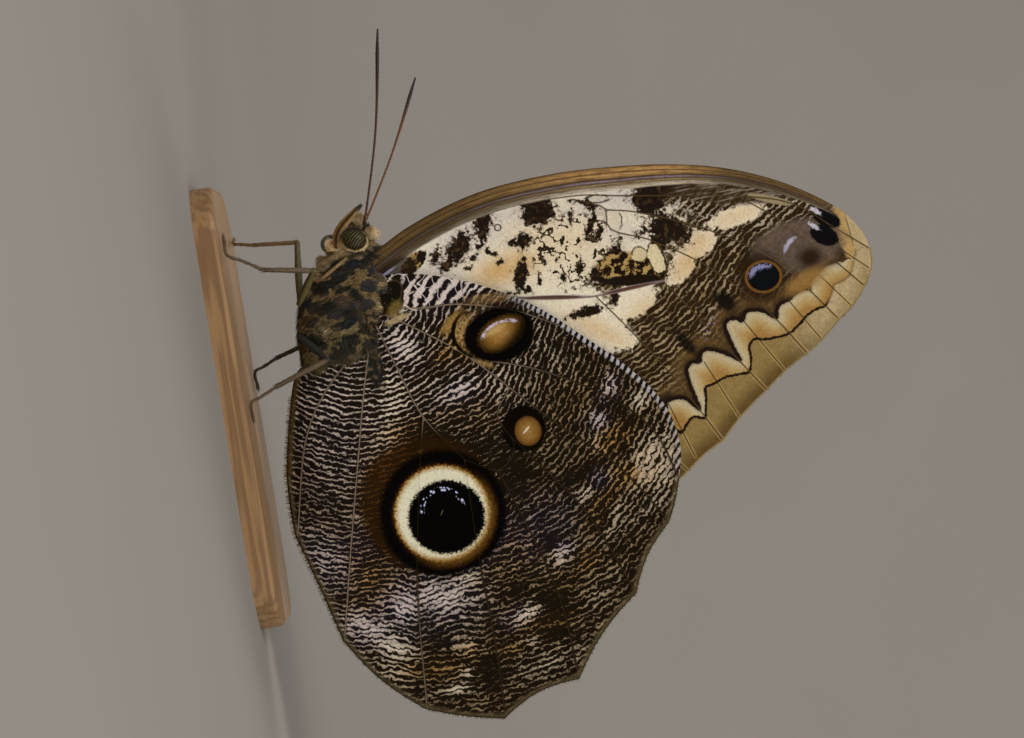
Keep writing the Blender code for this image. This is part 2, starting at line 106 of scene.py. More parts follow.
# Stations along the abdomen: x, height of the middle, half height, half width
ABDOMEN = [
    (-6.5, 15.8, 0.0, 0.0),
    (-6.0, 15.8, 2.0, 1.9),
    (-2.0, 15.2, 3.0, 2.7),
    (3.0, 14.5, 3.3, 2.9),
    (10.0, 13.5, 3.1, 2.8),
    (17.0, 12.7, 2.4, 2.2),
    (21.5, 12.2, 1.4, 1.3),
    (22.8, 12.0, 0.0, 0.0),
]

# Forewing: leading edge, vein ends on the outer margin with the bulge to the next, trailing edge, veins
FOREWING_LEADING = [
    (-17.2, 21.4), (-18.6, 24.0), (-20.6, 27.9), (-22.6, 33.4), (-24.0, 39.5), (-24.6, 46.9),
    (-24.5, 54.0), (-23.6, 63.2), (-21.7, 71.8), (-18.4, 79.6), (-14.0, 86.1), (-10.4, 89.0),
]
FOREWING_MARGIN = [
    (-7.7, 89.9, 0.55), (-2.7, 88.4, 0.35), (1.3, 84.2, 0.15), (5.2, 79.1, -0.25),
    (9.3, 72.8, -0.3), (15.1, 65.8, -0.25), (18.5, 60.4, 0.0), (21.2, 56.4, 0.0),
]
FOREWING_TRAILING = [(21.2, 56.4), (12.0, 48.2), (0.0, 36.6), (-9.0, 26.6), (-13.2, 21.4)]
FOREWING_VEINS = {
    "cubitus": [(-14.8, 21.6), (-11.6, 31.5), (-8.7, 41.3), (-7.2, 51.8), (-7.8, 61.2)],
    "radius": [(-16.0, 21.6), (-18.6, 30.0), (-21.0, 41.0), (-21.2, 51.0), (-20.2, 57.3),
               (-17.5, 73.3), (-15.3, 80.4), (-11.2, 85.5), (-7.7, 89.7)],
    "cell_end": [(-20.85, 50.6), (-19.4, 54.2), (-18.6, 55.1), (-15.8, 55.4), (-13.1, 61.1), (-9.5, 62.0),
                 (-7.8, 61.2)],
    "first_medial": [(-18.6, 55.1), (-17.7, 58.95), (-15.4, 64.8), (-13.0, 69.6), (-7.7, 77.2), (1.1, 84.0)],
    "second_medial": [(-13.1, 61.1), (-11.3, 64.1), (-8.0, 68.4), (-1.5, 74.6), (5.0, 79.0)],
    "third_medial": [(-7.8, 61.2), (-0.5, 66.3), (9.1, 72.7)],
    "first_cubital": [(-7.2, 51.8), (-2.0, 55.6), (5.9, 60.8), (14.9, 65.7)],
    "second_cubital": [(-9.6, 37.5), (-2.5, 44.0), (8.0, 52.2), (18.3, 60.3)],
    "anal": [(-13.9, 21.7), (-6.6, 31.2), (2.5, 41.8), (12.4, 50.6), (20.8, 56.3)],
    "fifth_radial": [(-17.5, 73.3), (-11.4, 80.6), (-2.8, 88.2)],
}
# Creases between the veins at the forewing's margin
FOREWING_FOLDS = [
    [(4.1, 65.0), (12.7, 68.7)], [(-0.6, 71.2), (7.3, 75.9)], [(-2.6, 77.6), (4.2, 81.7)],
    [(-5.3, 82.3), (0.1, 86.4)], [(-8.5, 85.5), (-5.0, 89.3)], [(8.4, 59.1), (16.7, 61.7)],
]
# Black lines along the margin: the scalloped inner one and the zigzag outer one
SCALLOP_LINE = [
    (-6.5, 85.4), (-6.0, 83.3), (-5.4, 82.2), (-4.2, 80.9), (-3.4, 80.9), (-3.6, 80.0), (-3.0, 78.5),
    (-2.5, 77.9), (-2.0, 76.4), (-1.0, 75.8), (-0.2, 75.8), (-1.3, 74.4), (-1.8, 73.1), (-1.8, 71.7),
    (-0.6, 71.1), (-1.0, 70.5), (-1.2, 69.4), (-0.5, 68.6), (1.2, 68.8), (3.5, 69.5), (4.6, 69.9),
    (3.6, 68.4), (2.8, 66.9), (2.4, 65.3), (3.2, 64.5), (4.0, 64.5), (3.8, 63.4), (4.5, 62.5), (6.2, 62.5),
    (8.7, 63.0), (10.4, 63.4), (8.7, 61.8), (8.3, 60.5), (8.5, 59.1),
]
ZIGZAG_LINE = [
    (-7.7, 88.0), (-5.9, 87.3), (-4.4, 86.6), (-3.7, 85.4), (-3.4, 84.3), (-2.4, 83.8), (-0.9, 82.7),
    (-0.6, 81.4), (0.1, 79.9), (0.7, 79.2), (1.6, 78.0), (2.1, 77.2), (2.3, 76.0), (2.4, 73.8), (2.1, 72.7),
    (2.1, 72.2), (3.0, 71.4), (4.6, 71.4), (6.4, 70.9), (6.5, 69.8), (6.6, 67.6), (6.9, 66.8), (7.3, 65.6),
    (7.6, 64.5), (8.9, 64.5), (10.8, 64.1), (11.7, 64.0), (11.4, 63.0), (11.3, 62.2), (12.2, 61.2),
    (13.2, 60.3), (12.5, 59.6),
]

# Hindwing: the edge nearest the head, the outer margin at the vein ends, the edge along the abdomen, veins
HINDWING_LEADING = [
    (-12.9, 20.6), (-14.5, 23.6), (-14.3, 27.0), (-13.2, 31.4), (-10.8, 37.3), (-7.2, 43.4),
    (-2.0, 49.3), (3.6, 55.0), (9.0, 58.7), (14.6, 59.9),
]
HINDWING_MARGIN = [
    (19.2, 59.0, 0.15), (24.8, 56.7, -0.75), (33.7, 50.7, -0.75), (44.0, 41.1, -1.0), (47.7, 30.2, 0.3),
    (44.7, 19.8, 0.8), (33.7, 10.2, -0.1), (18.6, 6.1, 0.2), (9.5, 6.3, 0.0),
]
HINDWING_TRAILING = [
    (9.5, 6.3), (2.0, 8.0), (-3.3, 9.8), (-4.5, 12.5), (-4.6, 16.0), (-5.6, 18.8), (-8.0, 20.4),
]
HINDWING_VEINS = {
    "costal": [(-11.6, 21.2), (-9.6, 26.5), (-9.1, 33.1), (-7.1, 40.3), (-4.0, 46.3)],
    "radial": [(-1.6, 33.5), (1.5, 42.5), (6.8, 51.4), (12.2, 56.6), (18.8, 58.9)],
    "first_medial": [(-10.4, 21.2), (-7.2, 26.2), (-1.6, 33.5), (8.2, 42.8), (16.3, 51.1), (24.6, 56.6)],
    "second_medial": [(3.6, 37.9), (7.2, 35.9), (13.1, 39.6), (21.8, 45.8), (33.4, 50.6)],
    "third_medial": [(14.1, 34.8), (25.5, 38.5), (34.0, 40.5), (43.8, 41.1)],
    "cell_end": [(7.2, 35.9), (11.4, 37.5), (14.1, 34.8), (11.9, 30.5)],
    "cubitus": [(-9.2, 21.2), (-2.7, 23.2), (5.3, 25.9), (11.9, 30.5)],
    "first_cubital": [(11.9, 30.5), (25.7, 30.3), (36.0, 30.6), (47.5, 30.4)],
    "second_cubital": [(5.3, 25.9), (14.0, 23.9), (28.6, 21.3), (44.5, 20.0)],
    "second_anal": [(-7.6, 20.9), (1.0, 18.4), (11.0, 15.9), (22.5, 13.0), (33.6, 10.4)],
    "third_anal": [(-6.2, 19.8), (-0.3, 13.4), (6.5, 9.4), (18.5, 6.4)],
}
HINDWING_FOLDS = [
    [(-11.3, 23.1), (-0.5, 21.5), (8.9, 19.8), (23.6, 16.8), (34.1, 13.5)],
    [(27.0, 27.1), (36.2, 26.1), (46.1, 25.3)],
    [(26.7, 35.6), (33.7, 36.0), (39.3, 36.4)],
]

# How the stripes lie: a place on the wing and the stripe's direction there, in degrees from +X towards +Z
HINDWING_STRIPE_LIES = [
    (0.2, 8.8, 53), (5.6, 7.9, 51), (9.7, 7.5, 57), (12.6, 6.6, 66), (1.1, 14.3, 61), (6.1, 11.4, 64),
    (10.4, 12.1, 65), (14.4, 11.4, 72), (18.5, 10.8, 68), (21.6, 8.9, 61), (26.7, 10.1, 73),
    (29.6, 9.6, 76), (1.2, 19.4, 73), (7.3, 18.7, 85), (11.4, 17.9, 99), (16.1, 17.4, 101),
    (19.4, 16.2, 94), (23.3, 14.8, 93), (27.3, 13.8, 89), (1.1, 22.6, 97), (4.1, 22.8, 93), (6.8, 22.4, 99),
    (9.1, 20.9, 101), (-6.5, 25.7, 141), (-4.0, 23.9, 96), (-1.9, 25.7, 123), (1.1, 26.8, 107),
    (0.0, 29.0, 106), (3.9, 29.8, 106), (2.2, 31.4, 101), (6.1, 32.2, 96), (8.4, 33.5, 111),
    (-12.9, 25.9, 153), (-12.5, 28.3, 146), (-11.8, 31.0, 138), (-11.0, 33.6, 131), (-9.5, 35.6, 126),
    (-9.0, 28.4, 163), (-7.4, 26.8, 156), (-7.6, 30.6, 151), (-2.4, 43.9, 156), (0.9, 45.5, 156),
    (4.0, 49.1, 147), (1.8, 42.6, 156), (2.8, 39.6, 155), (3.1, 36.5, 141), (5.4, 44.7, 151),
    (8.3, 49.8, 143), (11.7, 53.4, 137), (7.8, 55.4, 141), (4.7, 53.2, 147), (-2.0, 48.0, 149),
    (10.7, 56.3, 141), (15.1, 57.3, 137), (19.0, 55.8, 131), (21.3, 53.2, 129), (12.3, 49.1, 141),
    (16.2, 47.1, 131), (11.4, 43.8, 141), (15.0, 40.4, 126), (17.4, 42.8, 123), (20.2, 38.2, 116),
    (22.0, 40.6, 111), (21.3, 44.9, 121), (20.6, 49.2, 126), (25.1, 51.2, 121), (25.8, 46.9, 116),
    (26.3, 41.3, 103), (24.9, 37.4, 101), (25.6, 33.1, 95), (29.4, 35.3, 96), (30.2, 31.3, 86),
    (31.7, 40.4, 101), (29.6, 44.9, 109), (30.1, 47.6, 113), (33.9, 45.6, 101), (35.9, 41.1, 93),
    (36.6, 36.9, 93), (41.1, 38.9, 99), (41.6, 33.3, 99), (37.1, 31.2, 91), (33.5, 28.2, 65),
    (30.2, 25.0, 108), (30.4, 22.7, 108), (29.6, 19.3, 53), (30.6, 15.7, 78), (31.3, 12.8, 71),
    (34.9, 17.8, 57), (36.0, 14.8, 67), (35.7, 23.2, 83), (40.9, 20.9, 76), (41.6, 16.7, 66),
    (42.9, 24.8, 85), (43.8, 30.1, 91), (44.7, 35.5, 96), (35.1, 10.8, 65),
]
FOREWING_STRIPE_LIES = [
    (-2.0, 54.3, 109), (-2.5, 58.5, 111), (1.1, 56.5, 109), (0.7, 60.7, 116), (-0.5, 63.7, 121),
    (-3.0, 65.5, 126), (4.5, 58.7, 111), (2.5, 63.2, 119), (-9.1, 68.7, 138), (-10.4, 70.6, 136),
    (-6.2, 66.7, 133), (-12.4, 71.2, 123), (-13.8, 73.9, 117), (-14.3, 75.9, 117), (-14.5, 62.5, 133),
    (-18.2, 65.2, 137), (-14.4, 59.1, 143), (-14.3, 55.2, 143), (-17.8, 67.9, 126), (-18.1, 61.7, 141),
    (7.8, 55.4, 111), (-0.5, 51.2, 109), (-11.6, 75.2, 121), (-8.6, 71.9, 136), (-13.2, 36.7, 121),
    (-17.9, 33.4, 136),
]

# Soft oval marks: middle x and z, half length, half width, lie in degrees, strength
HINDWING_PALE = [
    (-11.7, 31.6, 6.8, 2.2, 96, 1.0), (-4.8, 24.6, 1.9, 2.5, 126, 0.9), (2.7, 30.9, 3.0, 1.1, 106, 0.9),
    (5.5, 51.5, 1.8, 0.7, 151, 0.9), (7.9, 55.5, 1.6, 1.1, 141, 1.0), (9.6, 49.6, 1.1, 1.4, 126, 0.8),
    (14.9, 54.9, 3.3, 1.2, 139, 0.9), (17.3, 57.6, 4.4, 1.2, 153, 0.9), (12.8, 48.6, 1.1, 1.1, 81, 0.7),
    (19.4, 45.9, 1.6, 0.8, 126, 0.7), (26.9, 41.6, 1.1, 1.5, 41, 1.0), (34.2, 35.5, 2.0, 1.1, 111, 1.0),
    (38.0, 35.9, 1.2, 0.8, 101, 0.7), (29.8, 25.0, 4.1, 2.6, 81, 1.0), (27.6, 27.7, 2.7, 1.1, 86, 1.0),
    (30.1, 19.1, 3.0, 2.2, 56, 0.9), (32.3, 14.0, 3.7, 1.9, 71, 1.0), (35.5, 16.8, 3.3, 1.9, 66, 1.0),
    (37.1, 26.5, 1.4, 1.1, 81, 1.0), (39.3, 16.2, 3.0, 1.8, 61, 0.6), (40.7, 26.2, 1.1, 0.7, 81, 0.9),
    (42.6, 24.3, 1.9, 0.7, 86, 0.8), (1.0, 13.7, 4.1, 5.5, 81, 0.35), (10.4, 12.1, 4.6, 5.5, 81, 0.25),
    (22.3, 8.8, 3.5, 5.5, 141, 0.5), (2.4, 22.4, 1.9, 3.3, 81, 0.7), (7.0, 21.0, 1.9, 2.7, 81, 0.6),
    (-0.7, 45.7, 5.5, 2.7, 46, 0.3), (32.5, 45.8, 3.8, 1.9, 141, 0.3), (-10.5, 28.0, 1.9, 1.6, 81, 0.7),
    (22.2, 50.3, 4.6, 1.6, 136, 0.5), (16.2, 55.6, 4.6, 2.3, 141, 1.0), (22.0, 55.2, 3.0, 1.0, 121, 0.7),
    (40.9, 37.8, 4.6, 1.6, 101, 0.4), (2.7, 36.9, 1.9, 1.6, 141, 0.5),
]
HINDWING_WARM = [
    (-2.6, 30.0, 2.0, 1.2, 121, 1.0), (6.8, 23.6, 3.5, 1.4, 96, 0.8), (5.3, 29.8, 3.5, 1.4, 101, 0.5),
    (12.3, 51.2, 3.3, 1.8, 126, 1.0), (17.6, 51.9, 2.0, 1.6, 126, 1.0), (20.3, 48.7, 3.0, 1.2, 126, 0.9),
    (23.2, 46.9, 2.0, 1.1, 141, 0.8), (27.6, 45.0, 1.4, 0.8, 101, 1.0), (28.9, 44.9, 1.5, 0.7, 96, 1.0),
    (35.7, 38.2, 3.3, 1.1, 96, 1.0), (38.7, 32.5, 1.8, 0.7, 96, 0.9), (37.8, 27.0, 1.9, 1.2, 81, 0.7),
    (39.5, 21.8, 3.7, 1.4, 86, 0.8), (25.8, 15.5, 2.7, 3.5, 81, 0.8), (16.1, 17.5, 1.4, 5.5, 81, 0.8),
    (6.3, 33.5, 2.7, 2.2, 81, 0.4), (5.2, 47.6, 5.5, 3.3, 126, 0.3), (26.7, 35.7, 5.5, 3.5, 101, 0.3),
    (-2.4, 33.6, 1.6, 1.4, 81, 0.9), (30.5, 41.7, 5.5, 2.7, 106, 0.3), (17.4, 54.5, 4.1, 2.7, 141, 0.4),
]
HINDWING_DUSK = [
    (0.5, 49.0, 5.5, 3.5, 60, 0.5),
    (33.5, 39.0, 2.0, 1.8, 91, 1.0), (37.3, 39.4, 2.2, 1.0, 86, 1.0), (40.5, 29.3, 1.8, 1.9, 81, 0.9),
    (36.3, 24.3, 0.7, 0.7, 81, 1.0), (9.0, 52.2, 2.3, 1.2, 51, 1.0), (16.6, 45.0, 3.5, 0.7, 113, 0.9),
    (22.9, 47.7, 2.0, 1.0, 141, 0.8), (25.0, 40.3, 1.5, 0.8, 101, 0.8), (13.9, 37.0, 2.5, 2.7, 121, 1.0),
    (8.8, 27.6, 4.6, 1.9, 71, 0.7), (11.2, 34.1, 2.7, 2.2, 81, 0.7), (30.8, 35.0, 1.4, 1.1, 81, 0.5),
    (35.5, 21.8, 1.9, 1.1, 81, 0.6), (18.2, 34.3, 1.1, 4.1, 81, 0.8), (1.1, 56.5, 2.7, 1.4, 41, 0.3),
    (22.0, 17.1, 1.4, 3.3, 81, 0.5), (16.1, 35.6, 3.0, 2.4, 81, 0.9), (10.8, 31.4, 3.5, 1.4, 81, 0.8),
]
HINDWING_LILAC = [
    (9.6, 49.6, 1.2, 1.4, 126, 1.0), (17.7, 48.3, 1.0, 1.2, 81, 1.0), (25.9, 41.8, 1.4, 1.1, 81, 1.0),
    (24.0, 32.4, 3.5, 1.0, 136, 1.0), (23.1, 39.1, 4.6, 3.3, 111, 0.6), (20.7, 15.9, 3.3, 4.1, 81, 0.5),
    (30.1, 18.5, 3.3, 3.3, 81, 1.0), (30.4, 24.0, 4.6, 3.3, 81, 0.7), (32.2, 14.1, 3.5, 2.2, 81, 0.8),
    (-11.3, 31.6, 6.8, 2.2, 91, 0.7), (3.1, 30.9, 2.7, 1.4, 106, 0.8), (22.5, 10.1, 3.5, 5.5, 141, 0.6),
    (5.3, 51.7, 1.9, 1.1, 141, 0.8), (-4.9, 24.3, 2.2, 2.7, 121, 0.5), (34.5, 34.4, 2.2, 1.4, 101, 0.5),
    (5.0, 13.0, 4.6, 10.9, 81, 0.3),
]
FOREWING_CREAM = [
    (-15.9, 43.4, 17.5, 6.3, 89, 1.4), (-13.4, 35.4, 8.2, 4.1, 91, 1.2), (-5.5, 48.6, 7.1, 3.5, 51, 1.3),
    (-5.9, 56.8, 3.1, 2.0, 113, 1.3), (-2.7, 51.9, 4.6, 1.8, 56, 1.2), (-9.2, 63.9, 2.7, 1.4, 133, 1.2),
    (-12.0, 67.0, 2.2, 1.6, 111, 1.1), (-14.9, 72.6, 4.1, 1.2, 101, 1.1), (-18.0, 54.1, 5.5, 2.7, 81, 1.2),
    (-11.1, 60.7, 2.0, 1.2, 179, 1.4), (-12.0, 58.5, 1.1, 1.1, 81, 1.4), (-17.1, 56.2, 1.6, 1.2, 81, 1.2),
    (-19.4, 57.8, 2.7, 1.9, 81, 1.1),
]
FOREWING_BLOTCHES = [
    (-16.7, 34.4, 2.4, 1.3, 143, 1.1), (-19.6, 38.3, 1.4, 1.0, 131, 1.2), (-17.8, 37.8, 0.8, 0.7, 81, 1.0),
    (-16.3, 37.2, 0.5, 0.5, 81, 1.0), (-19.9, 46.0, 2.0, 1.8, 101, 1.3), (-21.2, 44.4, 1.1, 0.5, 91, 1.0),
    (-16.3, 43.2, 1.2, 1.0, 141, 1.1), (-16.2, 41.6, 0.8, 0.5, 81, 1.0), (-11.6, 42.1, 2.0, 0.8, 161, 1.2),
    (-15.0, 36.2, 0.5, 0.5, 81, 1.0), (-13.8, 35.2, 0.5, 0.4, 81, 1.0), (-15.8, 38.1, 0.5, 0.4, 81, 1.0),
    (-15.1, 39.0, 0.5, 0.4, 81, 1.0), (-13.9, 39.6, 0.4, 0.4, 81, 1.0), (-12.9, 45.7, 0.5, 0.4, 81, 1.0),
    (-13.0, 47.5, 0.3, 0.3, 81, 1.0), (-10.4, 47.9, 0.4, 0.7, 81, 1.0), (-10.8, 44.6, 0.3, 1.0, 81, 1.0),
    (-11.3, 50.3, 0.4, 1.4, 81, 1.0), (-9.3, 56.6, 4.6, 1.2, 85, 1.3), (-10.2, 53.4, 1.4, 1.2, 81, 1.2),
    (-12.4, 55.4, 1.2, 1.1, 111, 1.1), (-8.8, 61.1, 1.9, 0.8, 143, 1.1), (-19.2, 61.1, 1.9, 2.0, 111, 1.4),
    (-14.7, 63.0, 3.0, 1.6, 61, 1.2), (-13.0, 61.6, 1.1, 1.4, 81, 1.1), (-18.5, 50.2, 1.2, 0.3, 171, 1.0),
    (-17.0, 52.7, 1.9, 0.5, 153, 1.1), (-15.7, 53.7, 1.2, 0.5, 141, 1.0), (-6.5, 54.3, 1.1, 0.5, 151, 1.2),
    (-20.0, 63.0, 4.1, 1.0, 91, 1.2), (-19.4, 53.2, 1.4, 0.5, 51, 1.0), (-9.7, 42.8, 0.5, 0.7, 141, 1.0),
    (-16.1, 31.0, 1.4, 0.7, 141, 0.9), (-14.4, 59.1, 0.8, 0.8, 81, 0.7), (-9.2, 40.0, 1.1, 0.4, 61, 0.9),
    (-5.3, 50.4, 2.6, 0.6, 98, 1.1), (-14.2, 56.3, 0.7, 0.7, 81, 0.8), (-20.5, 51.2, 1.0, 0.3, 81, 0.9),
    (-14.6, 32.4, 1.1, 0.8, 141, 1.0),
]
FOREWING_GOLD = [
    (-12.8, 39.4, 3.5, 1.9, 101, 0.8), (-13.4, 42.3, 2.7, 1.9, 81, 0.7), (-10.6, 56.4, 3.5, 1.4, 91, 0.9),
    (-9.7, 65.2, 3.3, 1.9, 131, 0.6), (-14.9, 72.6, 4.1, 1.2, 101, 0.4), (-2.5, 51.6, 4.6, 1.2, 56, 0.5),
    (-15.5, 48.2, 8.2, 4.1, 81, 0.3), (-12.0, 67.0, 2.2, 1.6, 111, 0.5), (-4.2, 58.1, 3.3, 1.6, 111, 0.4),
    (-7.2, 80.0, 4.1, 2.2, 111, 0.5),
]
FOREWING_COOL = [
    (-18.8, 36.3, 8.2, 2.7, 116, 0.9), (-20.2, 40.6, 5.5, 1.6, 96, 0.8), (-20.1, 57.2, 3.5, 1.9, 81, 0.9),
    (-19.3, 54.3, 5.5, 1.6, 86, 0.7), (-18.8, 66.0, 3.3, 1.6, 91, 0.8), (-15.2, 31.5, 3.5, 2.5, 121, 0.8),
    (-15.1, 57.1, 3.3, 1.6, 81, 0.6),
]

# One skin under the coat: x, height of the middle, half height, half width
SKIN = [
    (-22.5, 21.1, 0.0, 0.0), (-22.3, 21.1, 1.0, 0.9), (-21.5, 20.9, 1.9, 1.6), (-20.3, 20.6, 2.45, 2.0),
    (-19.0, 20.4, 2.65, 2.15), (-18.2, 20.1, 2.75, 2.2), (-17.2, 19.3, 4.0, 3.0), (-15.0, 18.0, 4.9, 3.8),
    (-12.0, 17.1, 5.5, 4.0), (-8.6, 16.5, 5.6, 3.9), (-6.4, 15.8, 4.9, 3.3), (-4.9, 15.1, 4.2, 2.6),
    (-2.0, 14.9, 3.6, 2.6), (3.0, 14.5, 3.1, 2.7), (10.0, 13.5, 2.9, 2.6), (17.0, 12.7, 2.2, 2.0),
    (21.3, 12.2, 1.2, 1.1), (22.5, 12.0, 0.0, 0.0),
]
BOXINESS = 2.3

# A tuft: how far along it its rings lie and how thick they are, how flat it is, how deep its root sits as a
# share of its length, and the side of its patch on the unwrapped square
TUFT_RINGS = ((0.0, 1.0), (0.35, 0.85), (0.7, 0.5))
TUFT_FLAT = 0.55
TUFT_SUNK = 0.04
TUFT_PATCH = 0.003

EYE_CENTRE = (-20.08, 2.3, 20.5)
EYE_RADII = (1.38, 1.2, 1.66)
EYE_LEAN = -20.0
# No hair grows this near the middle of an eye, from this far out to the side
EYE_CLEAR = 1.75
EYE_CLEAR_SIDE = 1.2

# Each leg: hip, knee and ankle, then where the toe lies on the base; y is measured away from the middle
LEGS = {
    "midleg_left": [(-12.6, 2.2, 11.6), (-16.7, 7.9, 14.6), (-17.8, 9.6, 8.0), (-20.6, 10.6, 3.9)],
    "midleg_right": [(-12.6, 2.2, 11.6), (-21.3, 3.6, 12.5), (-21.9, 6.0, 6.3), (-22.6, 8.6, 3.9)],
    "hindleg_left": [(-8.4, 2.2, 10.9), (-4.4, 8.0, 14.5), (-2.0, 9.0, 7.2), (-0.3, 10.0, 3.9)],
    "hindleg_right": [(-8.6, 2.2, 10.9), (-7.9, 8.0, 13.8), (-6.0, 8.6, 6.9), (-4.5, 9.4, 3.9)],
}
# How dark, pale and olive each thigh is, then its shin and foot, and how thick the shin is with its hair
LEG_LOOKS = {
    "midleg_left": ((0.0, 0.0, 0.9), (0.2, 0.0, 0.0), 1.2),
    "midleg_right": ((0.3, 0.1, 0.4), (0.0, 0.35, 0.0), 0.95),
    "hindleg_left": ((0.95, 0.0, 0.0), (0.4, 0.1, 0.0), 1.25),
    "hindleg_right": ((0.6, 0.0, 0.3), (0.5, 0.0, 0.0), 1.1),
}
FORELEG_LOOK = (0.0, 0.7, 0.0)
SOLE_HEIGHT = 3.3
TOE_RUN = 2.6
FOOT_RADIUS = 0.24
FOOT_PADS = 5

# The small folded foreleg lies against the side of the thorax, from below the head to the chest
FORELEG = [(-17.7, 3.7, 19.1), (-16.4, 4.2, 16.9), (-15.7, 4.1, 15.7), (-15.3, 3.5, 14.8)]

ANTENNA_ROOT = (-21.3, 0.8, 22.0)
ANTENNA_TIPS = {"left": (-47.5, 7.6, 28.4), "right": (-41.8, 15.5, 32.1)}
ANTENNA_RINGS = 170
ANTENNA_BOW = {"left": 0.7, "right": 0.5}
ANTENNA_SET = {"left": -0.15, "right": -0.6}
PALP = [
    (-19.5, 1.35, 17.9), (-21.1, 1.4, 18.3), (-22.2, 1.4, 19.15), (-23.1, 1.3, 20.15), (-23.8, 1.15, 21.0),
    (-24.6, 1.0, 22.0),
]
PALP_RADII = (0.42, 0.58, 0.62, 0.6, 0.5, 0.33, 0.12)
PALP_FLAT = 0.62
PALP_RINGS = 30
PROBOSCIS_CENTRE = (-20.0, 17.1)
COIL_TURNS = 1.25
COIL_RINGS = 70

# Tufts round each eye, on each palp, and the fringe of the wings: a tuft each step, rooted inside the edge
RIM_TUFTS = 520
PALP_TUFTS = 700
FRINGE_STEP = 0.1
FRINGE_ROOT = 0.15
PLAIN_HAIR = {"dark": 0.0, "rust": 0.0, "pale": 0.0, "blue": 0.0}
# Tufts of one kind: x, z, half sizes, lie in degrees, tufts a side, length, lift, over the wing or not, look
TUFTS = [
    (-22.3, 21.5, 0.5, 0.8, 176, 190, 1.15, 0.5, False, {"pale": 0.35, "rust": 0.3}),
    (-21.2, 22.2, 0.4, 0.4, 150, 70, 0.8, 0.6, False, {"dark": 1.0}),
    (-20.8, 22.3, 0.5, 0.5, 118, 150, 0.9, 0.6, False, {"pale": 0.2, "rust": 1.0}),
    (-20.2, 22.6, 0.5, 0.4, 105, 90, 1.3, 0.7, False, {"pale": 0.8}),
    (-19.0, 22.4, 0.7, 0.7, 65, 170, 1.0, 0.5, False, {"rust": 0.4, "pale": 0.2}),
    (-18.2, 22.6, 0.8, 0.8, 72, 220, 1.7, 0.4, False, {"dark": 0.9, "blue": 0.4}),
    (-20.3, 18.75, 1.0, 0.3, 190, 260, 0.6, 0.15, False, {"pale": 1.3}),
    (-19.4, 17.8, 0.6, 0.5, 248, 340, 1.6, 0.12, False, {"pale": 1.2}),
    (-18.4, 17.3, 0.8, 0.8, 232, 300, 0.8, 0.1, False, {"pale": 0.45, "rust": 0.5}),
    (-17.4, 15.9, 1.0, 0.9, 240, 380, 0.8, 0.15, False, {"pale": 0.35, "rust": 0.4}),
    (-16.2, 14.9, 0.9, 0.5, 262, 160, 0.8, 0.3, False, {"pale": 0.5, "rust": 0.2}),
    (-18.7, 19.6, 0.25, 0.8, 80, 90, 0.6, 0.1, False, {"dark": 1.0}),
    (-12.6, 20.9, 4.2, 1.0, 62, 900, 1.2, 0.3, True, {}),
    (-13.9, 22.6, 1.3, 0.8, 55, 300, 1.1, 0.3, True, {"pale": 0.1, "dark": 0.3}),
    (-15.4, 21.6, 1.8, 0.7, 48, 260, 1.1, 0.3, True, {"dark": 0.5}),
    (-12.9, 22.3, 0.6, 0.6, 60, 120, 1.0, 0.3, True, {"dark": 0.8}),
    (-10.6, 21.6, 0.9, 0.6, 62, 130, 0.9, 0.3, True, {"pale": 0.5}),
    (-3.7, 20.4, 2.3, 1.1, -2, 800, 2.2, 0.12, True, {"dark": 0.6}),
    (-6.9, 20.2, 1.4, 1.2, 10, 300, 1.8, 0.25, True, {"dark": 0.5}),
    (-6.0, 16.6, 1.3, 3.4, -6, 900, 1.9, 0.22, True, {"dark": 0.45}),
    (-5.2, 13.2, 1.6, 1.6, -32, 420, 1.7, 0.25, True, {}),
]
# Patches of the body's hair: x, z, half length, half width, lie in degrees, strength
BODY_DARK = [
    (-14.5, 16.2, 3.14, 0.61, 107, 1.0), (-13.5, 18.0, 1.50, 0.48, 109, 0.9),
    (-11.6, 15.6, 1.09, 0.68, 101, 1.0), (-12.7, 19.8, 0.96, 0.82, 61, 1.0),
    (-9.0, 17.9, 1.37, 0.68, 103, 1.0), (-16.7, 20.0, 1.23, 0.75, 91, 1.0),
    (-12.6, 13.0, 0.68, 0.55, 111, 0.9), (-13.5, 21.4, 0.82, 0.55, 101, 0.8),
    (-10.4, 18.3, 1.23, 0.35, 89, 0.8), (-16.8, 21.7, 1.23, 0.82, 121, 0.9),
    (-17.0, 17.3, 1.91, 0.46, 119, 0.9), (-8.2, 14.1, 1.23, 0.82, 91, 0.6),
    (-6.1, 16.2, 2.18, 0.96, 91, 0.8), (-10.2, 21.2, 0.55, 0.96, 81, 0.5),
    (-6.9, 19.4, 1.09, 0.82, 111, 0.7), (-6.5, 13.1, 1.37, 0.68, 36, 0.8),
    (-18.7, 23.5, 0.96, 0.55, 41, 0.8), (-16.6, 22.9, 0.68, 1.09, 81, 0.7),
]
BODY_RUST = [
    (-12.1, 18.2, 1.23, 0.55, 106, 0.9), (-13.0, 16.4, 1.37, 0.41, 109, 0.8),
    (-10.5, 12.8, 1.23, 0.55, 96, 0.6), (-9.9, 14.9, 1.64, 0.55, 96, 0.3),
    (-9.3, 12.0, 0.41, 0.41, 81, 1.0), (-14.4, 19.4, 1.09, 0.41, 111, 0.7),
    (-11.3, 20.4, 0.68, 0.68, 81, 0.6), (-14.9, 21.2, 0.55, 0.41, 81, 0.6),
    (-20.5, 23.0, 0.68, 0.82, 81, 0.9),
]
